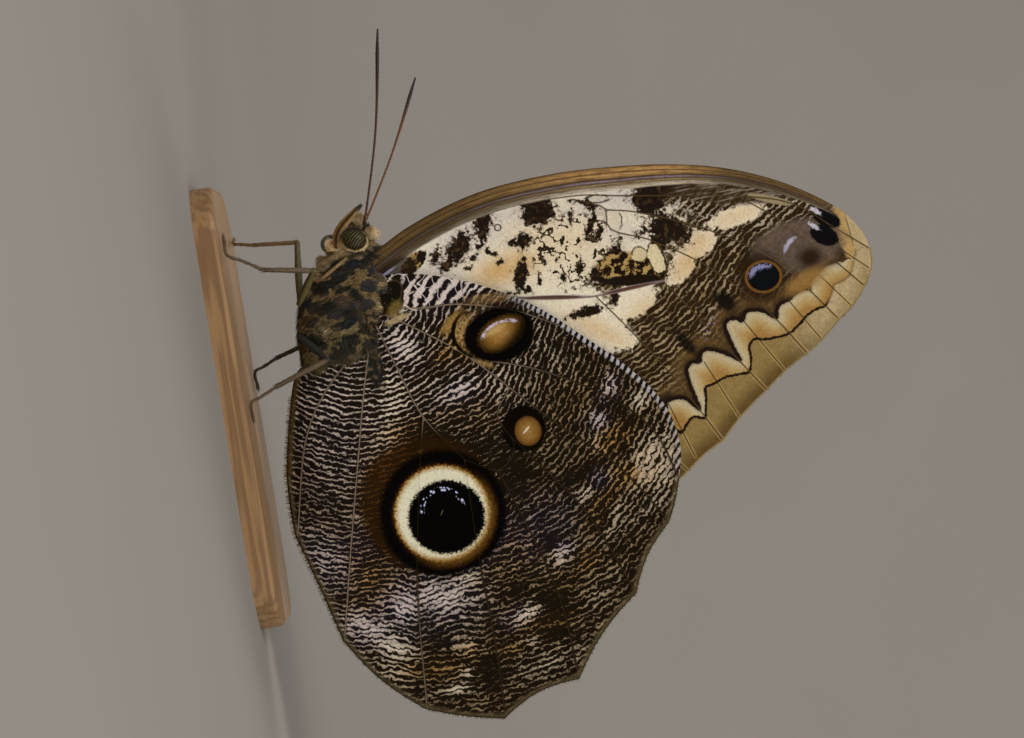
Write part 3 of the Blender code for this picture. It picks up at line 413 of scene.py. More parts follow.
BODY_PALE = [
    (-17.7, 16.4, 1.64, 0.61, 126, 0.7), (-11.5, 21.7, 0.82, 0.55, 141, 0.6),
    (-9.0, 21.8, 0.55, 1.09, 161, 0.5), (-17.3, 21.1, 0.82, 0.30, 91, 0.6),
    (-8.3, 14.5, 0.68, 0.55, 81, 0.5), (-19.9, 18.0, 1.23, 0.68, 151, 1.0),
    (-20.6, 23.6, 0.55, 0.82, 61, 0.8), (-8.1, 17.5, 1.09, 0.41, 101, 0.3),
    (-20.6, 18.8, 1.5, 0.6, 10, 1.4), (-19.2, 18.2, 0.8, 0.8, 0, 1.3),
]
# Blue-black patches of hair, partly the hair's own colour and partly a painted blue glint
BODY_BLUE_BLACK_AND_GLINT = [
    (-16.8, 20.0, 0.68, 0.41, 101, 1.0), (-12.4, 12.9, 0.55, 0.41, 111, 1.0),
    (-9.1, 17.9, 0.96, 0.41, 103, 0.7), (-9.1, 21.4, 0.55, 0.55, 81, 0.7),
    (-7.9, 11.8, 0.55, 0.41, 81, 0.5),
]


def linear(hex_colour):
    """An sRGB colour such as "8f6e35" as the linear colour that a shader takes."""
    channels = [int(hex_colour[i:i + 2], 16) / 255 for i in (0, 2, 4)]
    return tuple(c / 12.92 if c <= 0.04045 else ((c + 0.055) / 1.055) ** 2.4 for c in channels) + (1.0,)


def add(kind, links, tree=None, out=0, stops=None, **settings):
    """Adds a shader node with its settings and links, and gives one of its outputs.

    Where no tree is given, the node goes into the tree of the first socket that it links to.
    """
    if tree is None:
        tree = next(value.id_data for value in links.values() if isinstance(value, bpy.types.NodeSocket))
    node = tree.nodes.new("ShaderNode" + kind)
    for name, value in settings.items():
        setattr(node, name, value)
    for name, value in links.items():
        if isinstance(value, bpy.types.NodeSocket):
            tree.links.new(value, node.inputs[name])
        else:
            node.inputs[name].default_value = value
    if stops:
        ramp = node.color_ramp.elements
        while len(ramp) < len(stops):
            ramp.new(1.0)
        for element, (place, colour) in zip(ramp, stops):
            element.position = place
            element.color = linear(colour)
    return node.outputs[out]


def new_finish(name, roughness, specular):
    """A material with one principled shader, and the place on the surface in millimetres."""
    material = bpy.data.materials.new(name)
    material.use_nodes = True
    shader = material.node_tree.nodes["Principled BSDF"]
    shader.inputs["Roughness"].default_value = roughness
    shader.inputs["Specular IOR Level"].default_value = specular
    place = add("TexCoord", {}, material.node_tree, out=3)
    return material, add("VectorMath", {0: place, "Scale": 1 / MM}, operation="SCALE")


def painted(material, colour, relief=None, strength=0.0, depth=0.0):
    """Gives the material its colour and, where asked, a fine relief of this depth in millimetres."""
    tree = material.node_tree
    shader = tree.nodes["Principled BSDF"]
    tree.links.new(colour, shader.inputs["Base Color"])
    if relief:
        bump = add("Bump", {"Strength": strength, "Distance": depth * MM, "Height": relief})
        tree.links.new(bump, shader.inputs["Normal"])
    return material


def grain(place, size, detail=2.0, roughness=0.5):
    """Soft noise from 0 to 1 whose lumps are about this many millimetres across."""
    return add("TexNoise", {"Vector": place, "Scale": 1 / size, "Detail": detail, "Roughness": roughness})


def calc(operation, a, b=0.0, c=0.0, clamp=False, tree=None):
    """One step of a sum over the surface, such as the greater of two shares."""
    return add("Math", {0: a, 1: b, 2: c}, tree, operation=operation, use_clamp=clamp)


def together(*shares, clamp=False):
    """The product of several shares."""
    product = shares[0]
    for share in shares[1:]:
        product = calc("MULTIPLY", product, share, clamp=clamp)
    return product


def away(value, middle):
    """How far a value lies from a middle one, on either side of it."""
    return calc("ABSOLUTE", calc("SUBTRACT", value, middle))


def wobble(place, amount, size, detail=3.0, roughness=0.7):
    """Noise that swings by the amount to either side of nought."""
    return calc("MULTIPLY_ADD", grain(place, size, detail, roughness), 2 * amount, -amount)


def ragged_share(place, share, amount=0.06, size=0.35):
    return calc("ADD", share, wobble(place, amount, size))


def step_up(value, low, high):
    """Goes smoothly from 0 to 1 while the value goes from low to high."""
    return add("MapRange", {0: value, 1: low, 2: high}, interpolation_type="SMOOTHSTEP")


def blend(share, a, b):
    """The colour a where the share is 0 and b where it is 1."""
    links = {0: share, 6: linear(a) if isinstance(a, str) else a, 7: linear(b) if isinstance(b, str) else b}
    return add("Mix", links, out=2, data_type="RGBA")


def mark(place, name):
    """A number that the mesh holds at each of its points."""
    return add("Attribute", {}, place.id_data, out=2, attribute_name=name)


def spot_share(place, centre, radii, lie=0.0):
    """Distance from a spot's middle as a share of its radii, and the two ways seen from the spot."""
    seen = add("Mapping", {
        "Vector": place, "Location": (centre[0], 0.0, centre[1]), "Rotation": (0.0, -math.radians(lie), 0.0),
        "Scale": (radii[0], 1e6, radii[1])}, vector_type="TEXTURE")
    x, _, z = add("SeparateXYZ", {0: seen}).node.outputs
    return add("VectorMath", {0: seen}, out=1, operation="LENGTH"), x, z


def dab(place, colour, paint, centre, radii, lie=0.0, ragged=None, edge=(1.2, 0.4), strength=1.0, pull=None):
    """Paints an oval spot over a colour.

    Its rim may be ragged, by an amount and at a size in millimetres. It begins and is full at the two
    shares of its radii in its edge, and a pull grows it where that is below nought.
    """
    share = spot_share(place, centre, radii, lie)[0]
    if ragged:
        share = ragged_share(place, share, *ragged)
    if pull:
        share = calc("ADD", share, pull)
    cover = step_up(share, *edge)
    return blend(cover if strength == 1.0 else together(cover, strength), colour, paint)


def smooth_path(points, count):
    """Points at even steps on a smooth curve through the given points, of two or three numbers each."""
    points = [Vector(p) for p in points]
    if len(points) == 2:
        dense = [points[0].lerp(points[1], i / 40) for i in range(41)]
    else:
        ends = [2 * points[0] - points[1]] + points + [2 * points[-1] - points[-2]]
        dense = []
        for a, b, c, d in zip(ends, ends[1:], ends[2:], ends[3:]):
            for i in range(16):
                t = i / 16
                dense.append(0.5 * (2 * b + (c - a) * t + (2 * a - 5 * b + 4 * c - d) * t ** 2
                                    + (3 * b - a - 3 * c + d) * t ** 3))
        dense.append(points[-1])
    lengths = [0.0]
    for a, b in zip(dense, dense[1:]):
        lengths.append(lengths[-1] + (b - a).length)
    path = []
    step = 0
    for i in range(count):
        target = lengths[-1] * i / (count - 1)
        while step < len(dense) - 2 and lengths[step + 1] < target:
            step += 1
        share = (target - lengths[step]) / max(lengths[step + 1] - lengths[step], 1e-9)
        path.append(dense[step].lerp(dense[step + 1], min(max(share, 0.0), 1.0)))
    return path


def stepped_path(points, step):
    length = sum((Vector(b) - Vector(a)).length for a, b in zip(points, points[1:]))
    return smooth_path(points, max(3, round(length / step) + 1))


def size_at(stations, x):
    """Height of the middle, half height and half width of the body at one place along it."""
    for a, b in zip(stations, stations[1:]):
        if a[0] <= x <= b[0]:
            t = (x - a[0]) / (b[0] - a[0])
            return [p + (q - p) * t for p, q in zip(a[1:], b[1:])]
    return [stations[0][1] if x < stations[0][0] else stations[-1][1], 0.0, 0.0]


def bulged_edge(start, end, bulge):
    """Points from one vein end towards the next, on an edge that bulges out, or in where negative."""
    start, end = Vector(start), Vector(end)
    along = end - start
    out = Vector((-along.y, along.x)).normalized()
    count = max(3, round(along.length / EDGE_STEP))
    return [start + along * i / count + out * bulge * math.sin(math.pi * i / count) for i in range(count)]


def margin_path(margin):
    """The outer margin alone, scalloped between the vein ends."""
    path = []
    for (ax, az, bulge), (bx, bz, _) in zip(margin, margin[1:]):
        path += bulged_edge((ax, az), (bx, bz), bulge)
    return path + [Vector(margin[-1][:2])]


def flare_at(x, z):
    reach = math.hypot(x - HINGE[0], z - HINGE[1])
    return FLARE * math.exp(-(reach / FLARE_REACH) ** 2)


def forewing_height(x, z):
    return FOREWING_LAYER + flare_at(x, z)


def hindwing_height(x, z):
    """The hindwing also swells round the side of the abdomen, which lies between the two."""
    closing, closed = SWELL_END
    middle, _, half_width = size_at(ABDOMEN, min(max(x, ABDOMEN[2][0]), closing))
    drop = (z - middle) / SWELL_HALF_HEIGHT
    behind = min(max((x - closing) / (closed - closing), 0.0), 1.0)
    swell = max(half_width + ABDOMEN_ROOM - HINDWING_LAYER, 0.0) * math.exp(-drop ** 4) * (1.0 - behind)
    flare = flare_at(x, z)
    return HINDWING_LAYER + 0.5 * (flare + swell + math.sqrt((flare - swell) ** 2 + SWELL_SOFTNESS))


def distances(points, paths):
    """Distance of each point to the nearest of the paths, in the wing's plane."""
    best = np.full(len(points), 1e9)
    for path in paths:
        path = np.array(path)
        for a, b in zip(path, path[1:]):
            along = b - a
            share = np.clip((points - a) @ along / max(along @ along, 1e-12), 0.0, 1.0)
            best = np.minimum(best, np.linalg.norm(points - a - share[:, None] * along, axis=1))
    return best


def inside(points, polygon):
    """Which points lie inside a closed outline."""
    polygon = np.array(polygon)
    found = np.zeros(len(points), dtype=bool)
    for a, b in zip(polygon, np.roll(polygon, -1, axis=0)):
        if a[1] != b[1]:
            crosses = (a[1] > points[:, 1]) != (b[1] > points[:, 1])
            found ^= crosses & (points[:, 0] < a[0] + (points[:, 1] - a[1]) * (b[0] - a[0]) / (b[1] - a[1]))
    return found


def mesh_of(name, bm):
    mesh = bpy.data.meshes.new(name)
    bm.to_mesh(mesh)
    bm.free()
    return mesh


def new_piece(name, mesh, finish, marks=None):
    """Makes a shape a smooth piece of the scene with its finish and its numbers per point."""
    if isinstance(mesh, bmesh.types.BMesh):
        mesh = mesh_of(name, mesh)
    for mark_name, values in (marks or {}).items():
        points = mesh.attributes.new(mark_name, "FLOAT", "POINT").data
        points.foreach_set("value", np.asarray(values, np.float32))
    mesh.shade_smooth()
    mesh.materials.append(finish)
    piece = bpy.data.objects.new(name, mesh)
    bpy.context.scene.collection.objects.link(piece)
    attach(piece, "root")
    return piece


def oval_marks(points, ovals):
    """How strongly soft oval marks cover each point: half their strength is left at an oval's edge."""
    field = np.zeros(len(points))
    for x, z, long, wide, lie, strength in ovals:
        dx, dz = points[:, 0] - x, points[:, 1] - z
        turn = math.radians(lie)
        along = (dx * math.cos(turn) + dz * math.sin(turn)) / long
        across = (dz * math.cos(turn) - dx * math.sin(turn)) / wide
        field = np.maximum(field, strength * 0.5 ** (along ** 2 + across ** 2))
    return field


def stripe_count(points, edges, lies, along=False):
    """Numbers the stripes over a sheet, so that the number grows by one from each stripe to the next.

    Asked for the way along the stripes instead, it grows by one for each stripe spacing that way.
    """
    spots = np.array([row[:2] for row in lies])
    turns = np.radians([row[2] for row in lies])
    across = np.column_stack((np.sin(turns), -np.cos(turns)))
    across *= np.sign(((spots - HINGE) * across).sum(axis=1))[:, None]
    reach = ((points[:, None, :] - spots[None, :, :]) ** 2).sum(axis=2)
    slope = (1.0 / (reach + LIE_REACH) ** 2) @ across
    slope /= np.linalg.norm(slope, axis=1)[:, None] * STRIPE_SPACING
    if along:
        slope = np.column_stack((-slope[:, 1], slope[:, 0]))
    a, b = edges.T
    size = len(points)
    wanted = (0.5 * (slope[a] + slope[b]) * (points[b] - points[a])).sum(axis=1)

    def pull(difference):
        return np.bincount(b, difference, size) - np.bincount(a, difference, size)

    count = (points - HINGE) @ slope.mean(axis=0)
    rest = pull(wanted - (count[b] - count[a]))
    search = rest.copy()
    power = rest @ rest
    for _ in range(STRIPE_STEPS):
        pulled = pull(search[b] - search[a])
        share = power / (search @ pulled)
        count += share * search
        rest -= share * pulled
        new_power = rest @ rest
        if new_power < STRIPE_REST:
            break
        search = rest + new_power / power * search
        power = new_power
    return count


def wing_sheet(outline, ridges, lines, step):
    """Splits a wing's plane into small triangles that follow its edge, its veins and its drawn lines."""
    points = [Vector(p) for p in outline]
    edges = []
    for path in ridges + lines:
        along = [b - a for a, b in zip(path, path[1:])]
        along.append(along[-1])
        for offset in ((-VEIN_HALF_WIDTH, 0.0, VEIN_HALF_WIDTH) if path in ridges else (0.0,)):
            first = len(points)
            for spot, direction in zip(path, along):
                points.append(spot + Vector((-direction.y, direction.x)).normalized() * offset)
            edges += [(i, i + 1) for i in range(first, len(points) - 1)]
    low = np.min([list(p) for p in outline], axis=0)
    high = np.max([list(p) for p in outline], axis=0)
    grid = [(low[0] + (column - 0.5 * (row % 2)) * step, low[1] + row * step * ROW_SHARE)
            for row in range(1, int((high[1] - low[1]) / step / ROW_SHARE) + 1)
            for column in range(1, int((high[0] - low[0]) / step) + 1)]
    grid = np.array(grid)
    room = distances(grid, ridges + lines + [outline + [outline[0]]])
    clear = np.where(distances(grid, ridges) < VEIN_HALF_WIDTH + 0.4 * step, 0.0, room)
    points += [Vector(p) for p in grid[clear > 0.45 * step]]
    face = list(range(len(outline)))
    spots, _, triangles, _, _, _ = delaunay_2d_cdt(points, edges, [face], 1, MERGE_WITHIN)
    used = sorted({i for triangle in triangles for i in triangle})
    place = {old: new for new, old in enumerate(used)}
    return (np.array([list(spots[i]) for i in used]),
            np.array([[place[i] for i in triangle] for triangle in triangles]))


def wing_shell(name, sign, outer, points, triangles, height, ridge, marks, finish):
    """One side of a wing: a thin closed shell from the wing's face to the middle of its thickness."""
    facing = sign if outer else -sign
    bm = bmesh.new()
    lift = SHEET_HALF if outer else -SHEET_HALF
    for (x, z), rise in zip(points, ridge):
        level = height(x, z) + lift + (rise if outer else -rise)
        bm.verts.new((x * MM, sign * level * MM, z * MM))
    bm.verts.ensure_lookup_table()
    for triangle in triangles:
        corners = [bm.verts[int(i)] for i in triangle]
        bm.faces.new(corners if facing < 0 else corners[::-1])
    piece = new_piece(name, bm, finish, marks)
    wall = piece.modifiers.new("wall", "SOLIDIFY")
    wall.thickness = (SHEET_HALF - LAYER_GAP) * MM
    wall.offset = -1.0
    return piece


def edges_of(triangles):
    pairs = np.concatenate([triangles[:, [0, 1]], triangles[:, [1, 2]], triangles[:, [2, 0]]])
    return np.unique(np.sort(pairs, axis=1), axis=0)


def make_wing(kind, leading, margin, trailing, veins, folds, lines, height, lies, ovals, finishes):
    """Both wings of a kind, left and right, each with an outer and an inner side."""
    leading_edge = stepped_path(leading + [margin[0][:2]], EDGE_STEP)
    rim = margin_path(margin)
    trailing_edge = stepped_path(trailing, EDGE_STEP)
    outline = leading_edge[:-1] + rim[:-1] + trailing_edge
    ridges = [stepped_path(path, VEIN_STEP) for path in veins.values()]
    drawn = [stepped_path(path, 0.5) for path in folds + lines]
    for side in ("outer", "inner"):
        fine = side == "outer"
        step = SHEET_STEP if fine else INNER_STEP
        points, triangles = wing_sheet(outline, ridges, drawn if fine else [], step)
        vein = distances(points, ridges)
        ridge = VEIN_RIDGE * np.clip(1.0 - vein / VEIN_HALF_WIDTH, 0.0, 1.0)
        marks = {"vein": vein, "rim": distances(points, [rim]), "leading": distances(points, [leading_edge]),
                 "trailing": distances(points, [trailing_edge])}
        if fine:
            marks["fold"] = distances(points, drawn[:len(folds)])
            edges = edges_of(triangles)
            marks["stripe"] = stripe_count(points, edges, lies)
            marks["run"] = stripe_count(points, edges, lies, along=True)
            for name, rows in ovals.items():
                marks[name] = oval_marks(points, rows)
            for name, line in zip(("scallop", "zigzag"), drawn[len(folds):]):
                beyond = [list(p) for p in line] + [[40.0, 56.0], [40.0, 99.0], [-7.0, 99.0]]
                marks[name] = distances(points, [line]) * np.where(inside(points, beyond), 1.0, -1.0)
        for wing_side, sign in SIDES:
            name = kind + "_" + wing_side
            piece = wing_shell(name + "_" + side + "_side", sign, fine, points, triangles, height, ridge,
                               marks, finishes[side])
            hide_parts(name)


def scaly(material, place, colour):
    """Rows of tiny overlapping scales: each tints the colour a little and lifts the surface."""
    cells = add("TexVoronoi", {"Vector": place, "Scale": 1 / SCALE_SIZE}, out=0)
    tint = add("RGBToBW", {0: cells.node.outputs[1]})
    value = add("MapRange", {0: tint, 3: 0.82, 4: 1.16})
    colour = add("HueSaturation", {"Value": value, "Color": colour})
    return painted(material, colour, cells, 0.35, 0.05)


def brushed(place, long=0.22):
    """A place that noise reads so that its lumps lie along the stripes, drawn out by one over this number."""
    across = together(mark(place, "stripe"), STRIPE_SPACING)
    run = together(mark(place, "run"), STRIPE_SPACING * long)
    return add("CombineXYZ", {0: across, 1: run})


def striped(place, width, wild=0.0, stretch=1.0):
    """Wavy hand-drawn lines across the wing: 1 on a line, 0 between them; they break up where it is wild."""
    count = together(mark(place, "stripe"), stretch)
    for size, reach, more in ((2.6, 1.2, 0.5), (1.0, 1.0, 0.45), (0.45, 0.45, 0.4)):
        reach = together(calc("MULTIPLY_ADD", wild, more, reach, tree=place.id_data), stretch)
        count = calc("MULTIPLY_ADD", grain(place, size, 1.5), reach, count)
    wave = calc("SINE", together(count, math.tau))
    stroke = brushed(place)
    for spot, size, reach, more in ((stroke, 0.42, 2.2, 1.2), (place, 0.15, 1.1, 0.9)):
        noise = calc("SUBTRACT", grain(spot, size, 3.0, 0.65), 0.5)
        wave = calc("MULTIPLY_ADD", noise, calc("MULTIPLY_ADD", wild, more, reach, tree=place.id_data), wave)
    return step_up(calc("ADD", wave, width), -0.3, 0.5)


def hindwing_finish():
    """Scaled wing membrane: matt, with pale ripples on near black and three glossy-looking eyespots."""
    material, place = new_finish("hindwing_scaled_membrane", 0.75, 0.03)
    pale, warm, dusk, lilac = (mark(place, name) for name in ("pale", "warm", "dusk", "lilac"))
    near = step_up(spot_share(place, HINGE, (34.0, 34.0))[0], 1.0, 0.45)
    patchy = grain(place, 2.2, 3.0)
    x, _, z = add("SeparateXYZ", {0: place}).node.outputs
    front = together(step_up(x, -9.15, -9.25), step_up(z, 34.0, 33.8))
    width = calc("MULTIPLY_ADD", together(pale, pale), 1.8, -0.66)
    for share, by in ((step_up(x, 4.0, 20.0), -0.12), (dusk, -0.75), (near, -0.2)):
        width = calc("MULTIPLY_ADD", share, by, width)
    width = calc("MULTIPLY_ADD", patchy, 0.9, calc("SUBTRACT", width, 0.4))
    width = calc("MINIMUM", width, calc("MULTIPLY_ADD", front, -0.55, 0.5))
    line = striped(place, width, calc("MULTIPLY_ADD", near, -0.7, 1.0),
                   calc("MULTIPLY_ADD", front, -0.42, 1.0))
    loops = step_up(away(grain(place, 2.2, 0.5), 0.5), 0.014, 0.006)
    line = calc("MAXIMUM", line, together(loops, front))
    ground = blend(grain(place, 1.2), "100c06", "231a0d")
    ground = blend(together(lilac, 0.8, clamp=True), ground, "1d1826")
    ground = blend(together(warm, 0.6, clamp=True), ground, "261a0a")
    stroke = blend(step_up(patchy, 0.3, 0.7), "75624a", "9f8c6c")
    stroke = blend(near, stroke, "cfc0b0")
    for share, by, paint in ((pale, 0.85, "eadfcc"), (lilac, 0.6, "c6bacf"), (warm, 1.1, "b48e54")):
        stroke = blend(together(share, by, clamp=True), stroke, paint)
    stroke = blend(together(front, 0.7), stroke, "d6cac6")
    glow = together(grain(place, 0.3, 2.0), calc("MULTIPLY_ADD", near, -0.3, 1.0))
    glow = calc("SUBTRACT", glow, 0.45)
    for share, by in ((grain(brushed(place), 0.6, 2.0), 1.5), (near, 0.25), (front, 0.35)):
        glow = calc("MULTIPLY_ADD", share, by, glow, clamp=True)
    colour = blend(together(line, glow), ground, stroke)

    # The strip along the front edge is checkered in brown black and grey
    leading = mark(place, "leading")
    strip = step_up(calc("MULTIPLY_ADD", patchy, 0.7, leading), 1.2, 1.0)
    block = calc("SINE", together(mark(place, "stripe"), math.tau))
    block = step_up(calc("MULTIPLY_ADD", grain(place, 0.7, 3.0, 0.6), 4.5, block), 1.9, 2.7)
    piped = together(step_up(z, 62.0, 54.0), step_up(leading, 0.8, 0.5))
    pipe = blend(block, "12100f", blend(piped, "a89e92", "c0bec8"))
    colour = blend(together(strip, step_up(z, 38.0, 42.0), 0.85), colour, pipe)

    # Veins: a thin brown thread between two dark edges, paler towards the abdomen
    vein = calc("ADD", mark(place, "vein"), wobble(place, 0.05, 0.5, 2.0, 0.5))
    colour = blend(together(step_up(vein, 0.24, 0.14), 0.75), colour, "150f08")
    paler = calc("MAXIMUM", together(step_up(x, 9.0, 5.0), near), step_up(z, 22.0, 19.0))
    colour = blend(together(step_up(vein, 0.11, 0.05), 0.8), colour, blend(paler, "32281a", "a2917f"))
    colour = blend(together(step_up(mark(place, "fold"), 0.2, 0.03), 0.35), colour, "15100b")

    # A pale hook near the root and a brown mottle above the bean follow the ripples
    hook, _, up = spot_share(place, (-10.5, 27.5), (1.25, 1.5))
    hook = step_up(away(ragged_share(place, hook), 1.0), 0.13, 0.05)
    colour = blend(together(hook, step_up(up, 0.1, -0.2), 0.85), colour, "c9b9ae")
    mottle = blend(grain(place, 0.4, 3.0), "6a4c28", "c8a470")
    colour = dab(place, colour, mottle, (-9.2, 37.2), (0.9, 4.0), 0.0, (0.4, 0.5), (1.1, 0.4),
                 calc("MULTIPLY_ADD", line, 0.7, 0.3), together(line, -0.4))

    colour = main_spot(place, colour, line)
    colour = bean_spot(place, colour, line)
    colour = small_spot(place, colour)
    colour = humeral_lobe(place, colour)
    colour = blend(together(step_up(vein, 0.08, 0.03), 0.4), colour, "3a2e18")

    # Soft borders: grey brown along the outer margin, olive brown along the abdomen
    ragged = wobble(place, 0.35, 0.7, 3.0, 0.5)
    rim = mark(place, "rim")
    colour = blend(together(step_up(calc("ADD", rim, ragged), 0.9, 0.15), 0.8), colour, "5c5038")
    colour = blend(step_up(rim, 0.2, 0.08), colour, "2a2214")
    hem = step_up(calc("ADD", mark(place, "trailing"), ragged), 1.1, 0.4)
    colour = blend(together(hem, 0.9), colour, blend(grain(place, 0.4, 3.0), "3c321a", "66542f"))
    return scaly(material, place, colour)


def main_spot(place, colour, line):
    """The big eye: black pupil with a bow of blue sparkles, cream ring, black ring and chestnut halo."""
    share, down, right = spot_share(place, (18.75, 26.4), (9.8, 9.8))
    soft = ragged_share(place, share, 0.06, 0.3)
    down_right = calc("ADD", down, right)
    halo = blend(together(line, grain(place, 0.4)), "281806", "6e451a")
    colour = blend(step_up(calc("MULTIPLY_ADD", down_right, 0.17, soft), 1.0, 0.84), colour, halo)
    colour = blend(step_up(soft, 0.94, 0.84), colour, "050302")
    crisp = add("ValToRGB", {0: soft}, stops=[
        (0.0, "f0eed6"), (0.6, "e8e6cc"), (0.655, "b99a60"), (0.675, "6c4614"), (0.7, "1c0e03"),
        (0.74, "050302")])
    faded = add("ValToRGB", {0: soft}, stops=[
        (0.0, "f0eed6"), (0.59, "e4dcba"), (0.64, "a8864a"), (0.68, "66461a"), (0.76, "2a1806"),
        (0.86, "050302")])
    rings = blend(step_up(down_right, -0.1, 0.75), crisp, faded)
    colour = blend(step_up(soft, 0.8, 0.76), colour, rings)
    colour = dab(place, colour, "040301", (19.3, 26.8), (5.1, 5.35), 0.0, (0.13, 0.26), (1.03, 0.95))
    bow, down, _ = spot_share(place, (18.2, 26.5), (2.8, 2.8))
    band = step_up(away(bow, 1.0), 0.13, 0.07)
    drops = step_up(add("TexVoronoi", {"Vector": place, "Scale": 1 / 0.5, "Randomness": 0.7}), 0.48, 0.36)
    colour = blend(together(band, step_up(down, 0.1, -0.1), drops), colour, "cdd3ff")
    return dab(place, colour, "8a7a62", (18.6, 26.3), (0.5, 0.1), 150, strength=0.4)


def bean_spot(place, colour, line):
    """The upper spot: a golden bean with a lilac-white bow in a black oval, tan around its base side."""
    around, _, right = spot_share(place, (-4.8, 36.7), (4.2, 6.2))
    around = ragged_share(place, calc("MULTIPLY_ADD", line, -0.3, calc("ADD", 0.2, around)), 0.14, 0.5)
    base_side = step_up(right, -0.1, -0.75)
    tan = together(step_up(around, 1.05, 0.9), calc("MULTIPLY_ADD", base_side, 0.85, 0.1))
    speckled = blend(step_up(grain(place, 0.4, 3.0, 0.65), 0.34, 0.58), "5c4525", "be9a60")
    colour = blend(tan, colour, speckled)
    gold = blend(grain(place, 0.3, 3.0), "4e3a18", "c09a58")
    colour = dab(place, colour, gold, (-6.9, 31.95), (2.7, 0.95), 128, (0.55, 0.3), (1.0, 0.5),
                 pull=together(line, -0.35))
    colour = dab(place, colour, "94794a", (-0.7, 35.3), (1.9, 0.6), 54, (0.5, 0.3), (1.0, 0.4), 0.8,
                 together(line, -0.3))
    colour = dab(place, colour, "241810", (-7.5, 38.6), (1.0, 3.9), 4, strength=0.9)
    crescent = ragged_share(place, spot_share(place, (-4.9, 37.2), (4.1, 5.5))[0], 0.04, 0.4)
    colour = blend(together(step_up(away(crescent, 1.0), 0.07, 0.03), base_side), colour, "120b05")
    colour = dab(place, colour, "060402", (-4.1, 37.9), (3.7, 5.0), 4, (0.07, 0.35), (1.06, 0.92))

    # The bean itself: gold that darkens to its rim and to the far end, with freckles and a light patch
    bean, across, up = spot_share(place, (-4.2, 38.5), (3.9, 2.5), 106)
    far_end = calc("SUBTRACT", across, up)
    bean = calc("MULTIPLY_ADD", step_up(far_end, 0.3, 1.5), 0.25, ragged_share(place, bean, 0.1, 0.3))
    gold = add("ValToRGB", {0: bean}, stops=[
        (0.0, "ba9050"), (0.4, "a0783a"), (0.66, "765422"), (0.86, "3c2a0d"), (1.0, "0a0603")])
    gold = blend(together(step_up(grain(place, 0.22, 3.0), 0.5, 0.66), 0.45), gold, "6a4a1c")
    gold = blend(together(step_up(far_end, -0.25, 1.0), 0.95), gold, "170e05")
    colour = blend(step_up(bean, 1.03, 0.95), colour, gold)
    colour = dab(place, colour, "e6c686", (-4.9, 37.4), (2.1, 0.8), 112, None, (1.2, 0.2),
                 grain(place, 0.4, 3.0))
    bow, _, up = spot_share(place, (-4.2, 38.2), (2.7, 1.55), 108)
    band = step_up(away(ragged_share(place, bow, 0.1, 0.2), 1.0), 0.15, 0.06)
    broken = step_up(grain(place, 0.5, 3.0, 0.7), 0.36, 0.5)
    return blend(together(band, step_up(up, 0.2, 0.55), broken), colour, "cfc6e0")


def small_spot(place, colour):
    """The small golden spot in its black oval, with the black smear towards the big eye."""
    colour = dab(place, colour, "0a0604", (9.1, 39.2), (3.2, 3.0), 0.0, (0.07, 0.35), (1.06, 0.94))
    disc = ragged_share(place, spot_share(place, (9.5, 39.7), (2.05, 1.85))[0], 0.06, 0.25)
    gold = add("ValToRGB", {0: disc}, stops=[
        (0.0, "b98f54"), (0.5, "a07c3c"), (0.85, "7a5222"), (1.0, "2c1806")])
    gold = blend(together(grain(place, 0.35, 3.0), 0.7), gold, "6a4a20")
    colour = blend(step_up(disc, 1.04, 0.96), colour, gold)
    return dab(place, colour, "e4d8bc", (9.3, 39.5), (0.75, 0.16), 130, edge=(1.2, 0.6))


